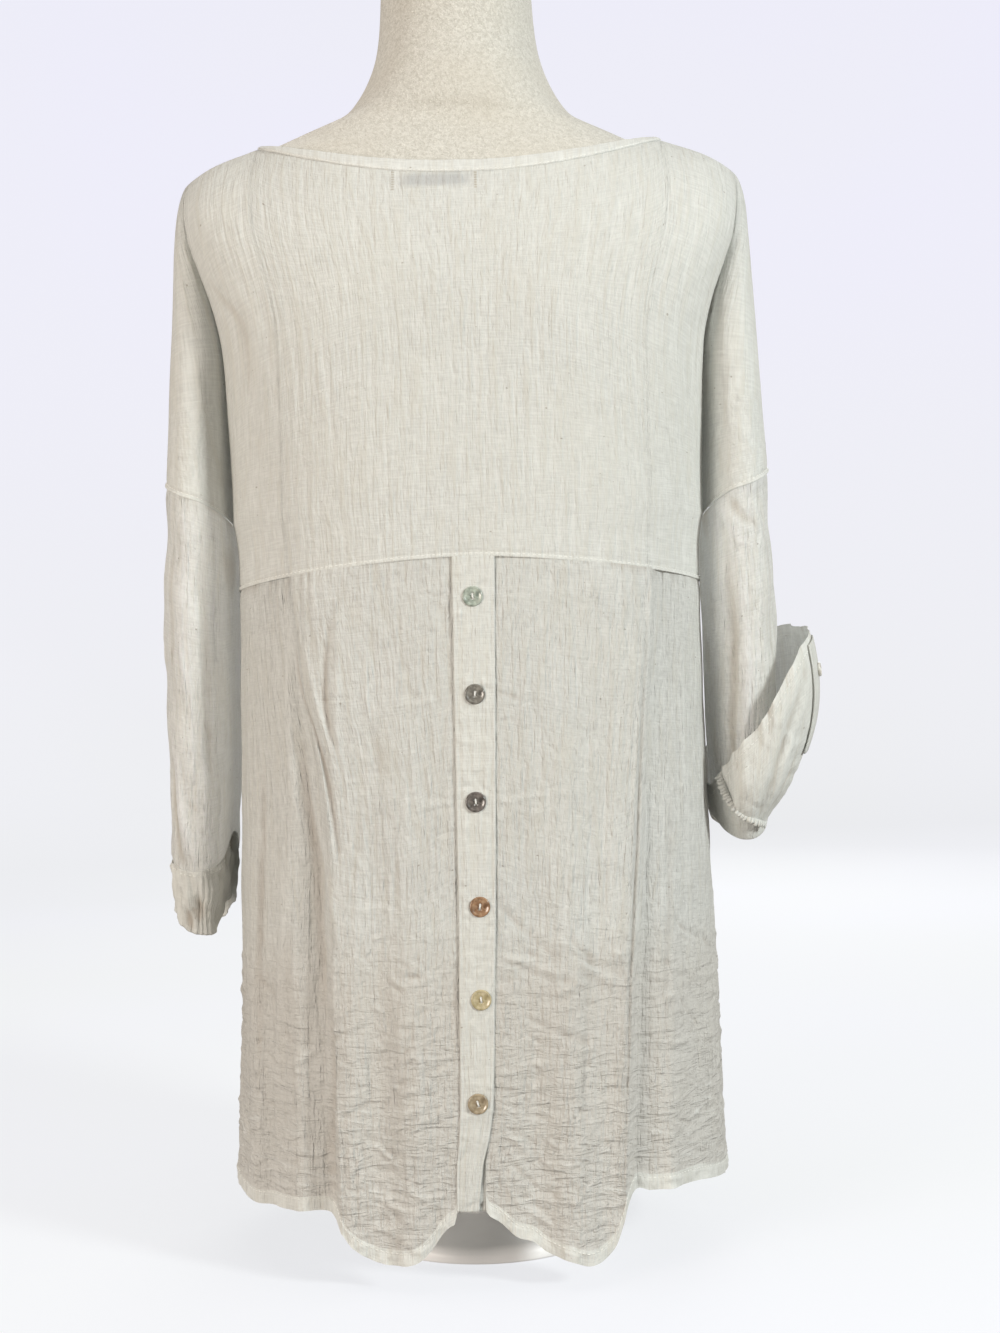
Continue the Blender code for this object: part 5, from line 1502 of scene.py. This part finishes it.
def make_bindings(double, thread):
    limit = column_of(NECK_HALF)
    half = steps(0.0, limit, 40)
    columns = [-u for u in reversed(half)] + half[1:]
    profile = ((0.85, -0.0021), (0.30, -0.0022), (0.02, -0.0019), (-0.04, -0.0006), (0.02, 0.0009),
               (0.12, 0.0013), (0.50, 0.0014), (0.90, 0.0014), (1.12, 0.0013), (1.22, 0.0008),
               (1.31, 0.0012), (1.37, 0.0002))
    for name, point, facing in (("back", yoke_point, -1), ("front", front_point, 1)):
        starts = [binding_level(point, u) for u in columns]
        base = np.array([[point(u, max(start * share, 0.0)) for u, start in zip(columns, starts)]
                         for share, _ in profile])
        lining = refined([[point(u, start * share) for u, start in zip(columns, starts)]
                          for share in steps(0.0, 1.0, 6)])
        lining_normals = outward_normals(lining)
        fine = finer(columns)
        rows = []
        for n, (share, lift) in enumerate(profile):
            ups = []
            for c in range(len(columns)):
                at = np.argmin(np.abs(fine - columns[c]))
                level = min(max(share, 0.0), 1.0) * (lining.shape[0] - 1)
                ups.append(lining_normals[int(round(level)), at])
            ups = np.array(ups)
            row = base[n] + ups * lift
            if share < 0:
                row = row + np.array((0.0, 0.0, 0.0004))
            rows.append(row)
        rng = np.random.default_rng(SEED + 12)
        grid = refined(rows)
        normals = outward_normals(grid)
        uneven = swell(grid.reshape(-1, 3), rng, 6, 0.006, 0.030, 0.00016)
        grid = grid + normals * uneven.reshape(grid.shape[:2])[..., None]
        binding = shell(f"{name}_neck_cloth", grid, (double,))
        settle(binding, "double_linen", f"{name}_neck_binding")
        row = int(round(9 / 11 * (grid.shape[0] - 1)))
        stitches = stitch_row(f"{name}_neck_stitches", grid[row, 2:-2], normals[row, 2:-2], thread,
                              length=0.0020, gap=0.0014, radius=0.00026)


def make_label(tape):
    rows = []
    for level in steps(0.0, 1.0, 8):
        row = []
        for share in steps(1.0, -1.0, 24):
            x = LABEL_CENTRE + share * LABEL_HALF_WIDTH
            u = math.copysign(column_of(abs(x)), x)
            start = column_top(u, NECK_BACK)[1]
            angle = math.acos(math.cos(start) - (LABEL_DROP + LABEL_DEPTH * level) / DOME_HEIGHT)
            row.append(yoke_point(u, DOME_LEVEL * (angle - start) / (math.pi / 2 - start)))
        rows.append(row)
    grid = np.array(rows)
    normals = outward_normals(grid)
    grid = grid - normals * 0.0024
    label = shell("plain_label", grid, (tape,), thickness=0.0005)
    settle(label, "label_tape", "blank_label")


def make_sleeve(name, node, table, point, side, creases, seed, cloth, double):
    around = [n / 72 for n in range(72)]
    grid = sheet_grid(point, around, steps(0.0, 1.0, 64), closed=True)
    axis = side * 0.214
    normals = outward_normals(grid, axis, closed=True)
    points = grid.reshape(-1, 3)
    flat_normals = normals.reshape(-1, 3)
    rng = np.random.default_rng(seed)

    def find(angle, z):
        x, y, z = sleeve_section(table, math.radians(angle), z)
        return side * x, y, z

    relief = swell(points, rng, 8, 0.03, 0.12, 0.0016)
    broad = relief.copy()
    press_all(points, relief, creases, find)
    relief = broad + 1.4 * (relief - broad)
    everywhere = np.ones(len(points), dtype=bool)
    scatter(points, flat_normals, relief, rng, 90, everywhere, (0.02, 0.09), (40, 92), (0.0018, 0.0036),
            (0.0004, 0.0012))
    low = points[:, 2] < points[:, 2].min() + 0.10
    scatter(points, flat_normals, relief, rng, 60, low, (0.012, 0.040), (0, 60), (0.0016, 0.0028),
            (0.0003, 0.0010))
    inside = np.clip((side * points[:, 0] - 0.190) / 0.008, 0.25, 1.0)
    top = edge_lengths(grid, False)
    relief *= inside * np.clip(top.ravel() / 0.010, 0.0, 1.0)
    relief -= 0.0006 * bell(top.ravel(), 0.0030)
    bottom = edge_lengths(grid, True)
    relief *= np.clip(bottom.ravel() / 0.004, 0.2, 1.0)
    grid = (points + flat_normals * relief[:, None]).reshape(grid.shape)
    sleeve = shell(name, grid, (cloth,), closed=True, relief=relief - broad)
    settle(sleeve, "linen", node)
    return grid, normals


def make_left_cuff(double, thread):
    around = [n / 128 for n in range(128)]
    grid = sheet_grid(left_cuff_point, around, steps(0.0, 1.0, 18), closed=True)
    normals = outward_normals(grid, -0.214, closed=True)
    points = grid.reshape(-1, 3)
    flat_normals = normals.reshape(-1, 3)
    rng = np.random.default_rng(SEED + 21)
    us = np.broadcast_to(finer(around, True), grid.shape[:2]).ravel()
    turn = us * 2 * math.pi
    top = edge_lengths(grid, False).ravel()
    gather = np.cos(CUFF_WAVES * turn + 1.9 * np.sin(3 * turn) + 70 * top)
    relief = swell(points, rng, 7, 0.012, 0.045, 0.0020)
    relief += 0.0004 * gather * np.clip(top / 0.006, 0.0, 1.0)
    relief += 0.0003 * np.cos(31 * turn + 2.0 * np.sin(5 * turn)) * np.clip(top / 0.004, 0.0, 1.0)
    everywhere = np.ones(len(points), dtype=bool)
    scatter(points, flat_normals, relief, rng, 60, everywhere, (0.015, 0.045), (0, 35), (0.0018, 0.0034),
            (0.0006, 0.0018))
    scatter(points, flat_normals, relief, rng, 30, everywhere, (0.010, 0.030), (50, 90), (0.0016, 0.0028),
            (0.0004, 0.0012))
    relief = np.clip(relief, -0.0030, 0.0030) * np.clip(top / 0.003, 0.15, 1.0) + 0.0008
    bottom = edge_lengths(grid, True)
    relief += 0.0006 * bell(bottom.ravel() - 0.0015, 0.0016)
    grid = (points + flat_normals * relief[:, None]).reshape(grid.shape)
    cuff = shell("left_cuff_cloth", grid, (double,), closed=True, relief=relief, thickness=0.0008)
    settle(cuff, "double_linen", "left_cuff")
    ring = list(range(grid.shape[1])) + [0]
    path = line_at(grid, normals, edge_lengths(grid, False), 0.0035, ring)
    stitches = stitch_row("left_cuff_stitches", *path, thread)


def make_roll(double, thread, sleeve_end):
    around = [n / 112 for n in range(112)]
    fold = [[right_sleeve_point(u, 1.0) for u in around], []]
    for u in around:
        a = np.array(right_sleeve_point(u, 1.0))
        b = np.array(roll_point(u, 0.0))
        fold[1].append(tuple((a + b) / 2 - np.array((0.0, 0.0, 0.0012))))
    levels = steps(0.0, 1.0, 44)
    grid = refined(fold + [[roll_point(u, v) for u in around] for v in levels], closed=True)
    normals = outward_normals(grid, 0.214, closed=True)
    points = grid.reshape(-1, 3)
    flat_normals = normals.reshape(-1, 3)
    rng = np.random.default_rng(SEED + 31)
    relief = swell(points, rng, 8, 0.025, 0.08, 0.0022)
    broad = relief.copy()
    press_all(points, relief, ROLL_CREASES, roll_point)
    everywhere = np.ones(len(points), dtype=bool)
    scatter(points, flat_normals, relief, rng, 90, everywhere, (0.020, 0.060), (20, 75), (0.0024, 0.0042),
            (0.0006, 0.0018))
    scatter(points, flat_normals, relief, rng, 90, everywhere, (0.010, 0.030), (0, 90), (0.0016, 0.0028),
            (0.0003, 0.0010))
    us = np.broadcast_to(finer(around, True), grid.shape[:2])
    turned = np.degrees(np.pi * (1 - 2 * us)) % 360.0
    beside_tab = bell((turned - TAB_CENTRE_ANGLE), 17.0)
    start = edge_lengths(grid, False)
    high = np.clip((points[:, 2] - 0.365) / 0.015, 0.0, 1.0)
    relief *= (1 - 0.92 * beside_tab.ravel() * high) * np.clip((start.ravel() - 0.003) / 0.008, 0.0, 1.0)
    relief *= np.clip((points[:, 0] - 0.192) / 0.010, 0.2, 1.0)
    bottom = edge_lengths(grid, True)
    rim = bottom.ravel()
    relief += 0.0004 / (1 + np.exp((rim - 0.010) / 0.0004)) - 0.0004 * bell(rim - 0.0088, 0.0009)
    round_way = np.radians(turned).ravel()
    ruffle = np.sin(23 * round_way + 1.7 * np.sin(4 * round_way)) + 0.5 * np.sin(41 * round_way)
    relief += 0.0011 * ruffle * np.exp(-rim / 0.011) * (1 - 0.9 * beside_tab.ravel())
    grid = (points + flat_normals * relief[:, None]).reshape(grid.shape)
    roll = shell("turned_cuff_cloth", grid, (double,), closed=True, relief=relief - broad)
    settle(roll, "double_linen", "right_turned_cuff")
    ring = list(range(grid.shape[1])) + [0]
    stitches = stitch_row("turned_cuff_stitches", *line_at(grid, normals, bottom, 0.0088, ring), thread)


def make_frill(double):
    """Gathered hem edge of the rolled sleeve, on the back of the turned cuff."""
    path = smooth_path(FRILL)
    pairs = np.array(path)
    count = 150 * FINE
    run = np.linspace(0, len(pairs) - 1, count)
    us = np.interp(run, range(len(pairs)), pairs[:, 0])
    vs = np.interp(run, range(len(pairs)), pairs[:, 1])
    centre = np.array([roll_point(u, v) for u, v in zip(us, vs)])
    way = np.gradient(centre, axis=0)
    way /= np.linalg.norm(way, axis=1)[:, None]
    out = centre - np.array((0.2115, 0.0, 0.0))
    out[:, 2] = 0.0
    out /= np.linalg.norm(out, axis=1)[:, None]
    flat = np.cross(way, out)
    flat /= np.linalg.norm(flat, axis=1)[:, None]
    if flat[len(flat) // 2][2] > 0:
        flat = -flat
    share = np.linspace(0, 1, count)
    ends = np.clip(np.minimum(share, 1 - share) / 0.06, 0.0, 1.0)
    rows = []
    for level, rise, reach in ((0.0, 0.0004, 0.0), (0.25, 0.0020, 0.0013), (0.5, 0.0026, 0.0026),
                               (0.75, 0.0024, 0.0040), (1.0, 0.0018, 0.0054)):
        ruffle = level * 0.0011 * np.sin(share * 2 * math.pi * 26 + 2.0 * np.sin(share * 21))
        ripple = level * 0.0007 * np.sin(share * 2 * math.pi * 15 + 1.0)
        rows.append(centre + out * ((rise + ruffle) * ends)[:, None] + flat * ((reach + ripple) * ends)[:, None])
    frill = shell("sleeve_hem_frill", np.array(rows), (double,), thickness=0.0006)
    settle(frill, "double_linen")


def surface_frame(point, u, v, step=0.01):
    centre = np.array(point(u, v))
    along = np.array(point(u + step, v)) - np.array(point(u - step, v))
    down = np.array(point(u, v + step)) - np.array(point(u, v - step))
    normal = np.cross(along, down)
    normal /= np.linalg.norm(normal)
    return centre, -normal if normal[0] < 0 else normal


def make_tab(double, thread):
    grid = refined([[tab_point(u, v) for u in steps(0.0, 1.0, 12)] for v in steps(0.0, 1.0, 30)])
    normals = outward_normals(grid, 0.2115)
    us = np.broadcast_to(finer(steps(0.0, 1.0, 12)), grid.shape[:2])
    rim = np.minimum(us, 1 - us) * 0.040
    lift = 0.0011 + 0.0005 * np.clip(rim / 0.0015, 0.0, 1.0) - 0.0003 * bell(rim - 0.003, 0.0008)
    grid = grid + normals * lift[..., None]
    tab = shell("sleeve_tab_cloth", grid, (double,), thickness=0.0009)
    settle(tab, "double_linen", "right_tab")
    for name, share in (("front", 0.08), ("back", 0.92)):
        c = int(round(share * (grid.shape[1] - 1)))
        stitch_row(f"tab_stitches_{name}", grid[:, c], normals[:, c], thread)


def turned_button(name, node, radius, material, thread, centre, normal, tilt=0.0):
    """Shell button: raised rim, dished middle, two sewing holes and their thread."""
    height = 0.0024
    outline = [(0.0, 0.0), (radius * 0.80, 0.0), (radius * 0.94, 0.0002), (radius, height * 0.35),
               (radius, height * 0.62), (radius * 0.975, height * 0.86), (radius * 0.93, height),
               (radius * 0.86, height * 1.01), (radius * 0.80, height * 0.95), (radius * 0.73, height * 0.82),
               (radius * 0.66, height * 0.74)]
    outline += [(radius * share, height * 0.70) for share in (0.56, 0.46, 0.38, 0.30, 0.23, 0.16, 0.10, 0.05)]
    outline.append((0.0, height * 0.70))

    def holes(x, y, z):
        if z < height * 0.6:
            return 0.0
        depth = max(bell(math.hypot(x, abs(y) - 0.0017), 0.00085), 0.0)
        return -0.0014 * depth

    button = lathe(name, outline, 72, material, holes)
    direction = Vector(normal)
    turn = direction.to_track_quat("Z", "Y").to_matrix().to_4x4() @ Matrix.Rotation(tilt, 4, "Z")
    button.matrix_world = Matrix.Translation(Vector(centre) + direction * 0.0006) @ turn
    settle(button, "shell", node)
    points = []
    for side in (-0.00032, 0.00032):
        line = []
        for n in range(13):
            t = n / 12 * 2 - 1
            line.append((side, t * 0.0017, height * 0.70 + 0.0006 * (1 - t * t) - 0.0007 * t ** 6))
        points.append(line)
    curve = bpy.data.curves.new(f"{name}_thread", "CURVE")
    curve.dimensions = "3D"
    curve.bevel_depth = 0.00030
    curve.bevel_resolution = 2
    for line in points:
        spline = curve.splines.new("POLY")
        spline.points.add(len(line) - 1)
        for place, spot in zip(line, spline.points):
            spot.co = (*place, 1.0)
    sewn = bpy.data.objects.new(f"{name}_sewing", curve)
    bpy.context.collection.objects.link(sewn)
    bpy.context.view_layer.update()
    mesh = bpy.data.meshes.new_from_object(sewn.evaluated_get(bpy.context.evaluated_depsgraph_get()))
    bpy.data.objects.remove(sewn)
    mesh.materials.clear()
    mesh.materials.append(thread)
    sewn = bpy.data.objects.new(f"{name}_sewing", mesh)
    bpy.context.collection.objects.link(sewn)
    sewn.matrix_world = button.matrix_world.copy()
    settle(sewn, "double_linen")


def make_buttons(thread):
    for number, (x, z) in enumerate(zip(BUTTON_X, BUTTON_HEIGHTS), start=1):
        seats = [back_surface(0.004, 1, z + step * 0.008) for step in (-1, 0, 1)]
        normal = np.array((0.0, -1.0, (seats[2] - seats[0]) / 0.016))
        normal /= np.linalg.norm(normal)
        dark, light, glint, tilt = BUTTON_LOOKS[number - 1]
        material = shell_material(f"shell_{number}", dark, light, glint)
        turned_button(f"shell_button_{number}", f"button_{number}", BUTTON_RADIUS, material, thread,
                      (x, seats[1], z), normal, tilt)
    centre, normal = surface_frame(tab_point, 0.5, 0.72)
    material = shell_material("shell_tab", (0.50, 0.47, 0.40), (0.78, 0.76, 0.70), (0.70, 0.74, 0.70))
    turned_button("shell_button_tab", "tab_button", 0.0055, material, thread, centre + normal * 0.0015, normal)


def make_form(flock):
    rings = [form_ring(*row[1:], row[0], FORM_SHARPNESS) for row in FORM]
    for z, back, front, sharpness in SHOULDER:
        rings.append(form_ring(ridge_reach(z), back, front, z, sharpness))
    for n, (z, radius) in enumerate(NECK, start=1):
        share = min(n / 4, 1.0)
        back, front = (radius * mix(ratio, NECK_DEPTH_RATIO, share) for ratio in NECK_BASE_RATIOS)
        rings.append(form_ring(radius, back, front, z, 1.0))
    grid = np.array(rings)
    for _ in range(2):
        grid = between(grid, 0)
    rows, columns = grid.shape[:2]
    upper = int(np.argmax(grid[:, 0, 2] > 0.80))
    for _ in range(12):
        grid[upper:-1] = (grid[upper - 1:-2] + 2 * grid[upper:-1] + grid[upper + 1:]) / 4
    points = grid.reshape(-1, 3).tolist()
    faces = [(r * columns + c, r * columns + (c + 1) % columns, (r + 1) * columns + (c + 1) % columns,
              (r + 1) * columns + c) for r in range(rows - 1) for c in range(columns)]
    under = len(points)
    points.append((0.0, 0.0, FORM[0][0]))
    points.append((0.0, 0.0, NECK[-1][0]))
    top = (rows - 1) * columns
    for c in range(columns):
        faces.append(((c + 1) % columns, c, under))
        faces.append((top + c, top + (c + 1) % columns, under + 1))
    mesh = bpy.data.meshes.new("form_body")
    mesh.from_pydata(points, [], faces)
    mesh.materials.append(flock)
    mesh.shade_smooth()
    mesh.set_sharp_from_angle(angle=math.radians(60))
    form = bpy.data.objects.new("form_body", mesh)
    bpy.context.collection.objects.link(form)
    settle(form, "flock", "form_torso")


def make_stand(flock, paint):
    top, radius = NECK[-1]
    cap = [(0.0, 0.0), (radius * 0.98, 0.0), (radius + 0.0006, 0.0006), (radius + 0.001, 0.002),
           (radius + 0.001, 0.0065), (radius + 0.0002, 0.0085), (radius - 0.0015, 0.0096),
           (radius - 0.004, 0.010), (radius * 0.6, 0.0103), (radius * 0.25, 0.0103), (0.0, 0.0103)]
    lid = lathe("form_lid", cap, 96, flock)
    lid.matrix_world = Matrix.Translation((0.0, 0.0, top + 0.0003))
    settle(lid, "flock", "form_neck_cap")
    pole = [(0.0, 0.0123), (0.014, 0.0123), (0.014, 0.2247), (0.0, 0.2247)]
    settle(lathe("pole", pole, 64, paint), "stand_metal", "stand_pole")
    base = [(0.0, 0.0), (0.0985, 0.0), (0.0998, 0.0006), (0.100, 0.002), (0.100, 0.0058), (0.0992, 0.0078),
            (0.0975, 0.0098), (0.0955, 0.0112), (0.092, 0.012), (0.050, 0.012), (0.020, 0.012), (0.0, 0.012)]
    settle(lathe("round_base", base, 128, paint), "stand_metal", "stand_base")


def make_studio():
    outline = [(0.0, 0.0), (0.6, 0.0), (1.4, 0.0), (2.3, 0.0), (2.7, 0.03), (2.95, 0.12), (3.1, 0.28),
               (3.2, 0.55), (3.22, 0.9), (3.22, 2.0), (3.22, 3.6)]
    studio = lathe("studio_sweep", outline, 96, studio_material())
    studio.visible_diffuse = False
    studio.visible_glossy = False


def area_light(name, place, target, size, power, colour):
    data = bpy.data.lights.new(name, "AREA")
    data.shape = "DISK"
    data.size = size
    data.energy = power
    data.color = colour
    light = bpy.data.objects.new(name, data)
    light.location = place
    way = Vector(target) - Vector(place)
    light.rotation_euler = way.to_track_quat("-Z", "Y").to_euler()
    light.visible_camera = False
    bpy.context.collection.objects.link(light)


def make_lights():
    area_light("key", (2.3, -1.7, 1.5), (0.0, 0.0, 0.55), 0.6, KEY_POWER, (0.96, 1.0, 0.98))
    area_light("fill", (-1.9, -2.0, 0.7), (-0.1, 0.0, 0.45), 1.3, FILL_POWER, (1.0, 0.90, 0.80))
    area_light("top", (-0.3, -0.2, 2.9), (0.0, 0.0, 0.5), 1.4, TOP_POWER, (1.0, 0.97, 0.93))
    area_light("behind", (0.6, 2.3, 1.3), (0.0, 0.0, 0.5), 1.6, BEHIND_POWER, (0.97, 0.98, 1.0))
    world = bpy.data.worlds.new("room")
    world.use_nodes = True
    world.node_tree.nodes["Background"].inputs["Color"].default_value = (1.0, 0.93, 0.86, 1.0)
    world.node_tree.nodes["Background"].inputs["Strength"].default_value = 0.34
    bpy.context.scene.world = world


def make_camera():
    data = bpy.data.cameras.new("view")
    data.sensor_fit = "VERTICAL"
    data.sensor_height = 24.0
    data.lens = 24.0 * FOCAL_PIXELS / 1333
    data.clip_start = 0.05
    camera = bpy.data.objects.new("view", data)
    camera.matrix_world = (Matrix.Translation(CAMERA_PLACE) @ Matrix.Rotation(math.pi / 2, 4, "X")
                           @ Matrix.Rotation(-CAMERA_ROLL, 4, "Z"))
    bpy.context.collection.objects.link(camera)
    bpy.context.scene.camera = camera


FRILL = ((0.139, 0.97), (0.160, 0.72), (0.190, 0.46), (0.235, 0.26), (0.290, 0.14), (0.330, 0.09))
BUTTON_LOOKS = (
    ((0.17, 0.20, 0.17), (0.40, 0.44, 0.38), (0.62, 0.74, 0.63), 0.10),
    ((0.085, 0.08, 0.07), (0.20, 0.19, 0.165), (0.40, 0.38, 0.34), -0.08),
    ((0.045, 0.04, 0.035), (0.15, 0.13, 0.12), (0.30, 0.27, 0.24), 0.05),
    ((0.13, 0.065, 0.03), (0.34, 0.20, 0.11), (0.55, 0.40, 0.26), -0.12),
    ((0.30, 0.25, 0.13), (0.50, 0.43, 0.27), (0.66, 0.60, 0.44), 0.15),
    ((0.20, 0.155, 0.095), (0.38, 0.31, 0.21), (0.55, 0.48, 0.36), 0.30),
)
KEY_POWER = 74.0
FILL_POWER = 50.0
TOP_POWER = 10.0
BEHIND_POWER = 20.0
FOCAL_PIXELS = 1790.0
CAMERA_PLACE = (0.0225, -1.45, 0.451)
CAMERA_ROLL = 0.0244


def main():
    make_camera()
    make_studio()
    make_lights()
    # The second colour of each linen is the painted shade of its crease troughs.
    yoke = linen("linen_yoke", (0.740, 0.750, 0.722), (0.46, 0.39, 0.31), 0.20, 0.75,
                 see_label=True)
    skirt = linen("linen_skirt", (0.715, 0.722, 0.696), (0.36, 0.29, 0.23), 0.22, 1.10, True)
    # Painted light: the sleeves get the same linen in a much lighter colour, 0.90 against 0.74 on the yoke, lifting
    # them out of the torso's shade.
    sleeve = linen("linen_sleeve_lightened", (0.900, 0.905, 0.880), (0.55, 0.49, 0.41), 0.42, 1.35)
    double = linen("linen_double", (0.715, 0.725, 0.695), (0.40, 0.34, 0.27), 0.14, 0.70)
    thread = thread_material()
    flock = flock_material()
    make_yoke(yoke, double, thread)
    make_front(skirt, double, thread)
    make_skirt(-1, "skirt_cloth_left", LEFT_CREASES, SEED + 2, skirt, double, thread)
    make_skirt(1, "skirt_cloth_right", RIGHT_CREASES, SEED + 3, skirt, double, thread)
    make_plackets(double, thread)
    make_bindings(linen("linen_binding", (0.755, 0.765, 0.740), (0.50, 0.44, 0.36), 0.15, 0.40), thread)
    make_label(tape_material())
    make_sleeve("left_sleeve_cloth", "left_sleeve", LEFT_SLEEVE, left_sleeve_point, -1,
                LEFT_SLEEVE_CREASES, SEED + 4, sleeve, double)
    make_sleeve("right_sleeve_cloth", "right_sleeve", RIGHT_SLEEVE, right_sleeve_point, 1,
                RIGHT_SLEEVE_CREASES, SEED + 5, sleeve, double)
    make_left_cuff(double, thread)
    make_roll(double, thread, None)
    make_frill(double)
    make_tab(double, thread)
    make_buttons(thread)
    make_form(flock)
    make_stand(flock, paint_material())
    view = bpy.context.scene.view_settings
    view.view_transform = "Standard"
    view.exposure = 0.0


main()
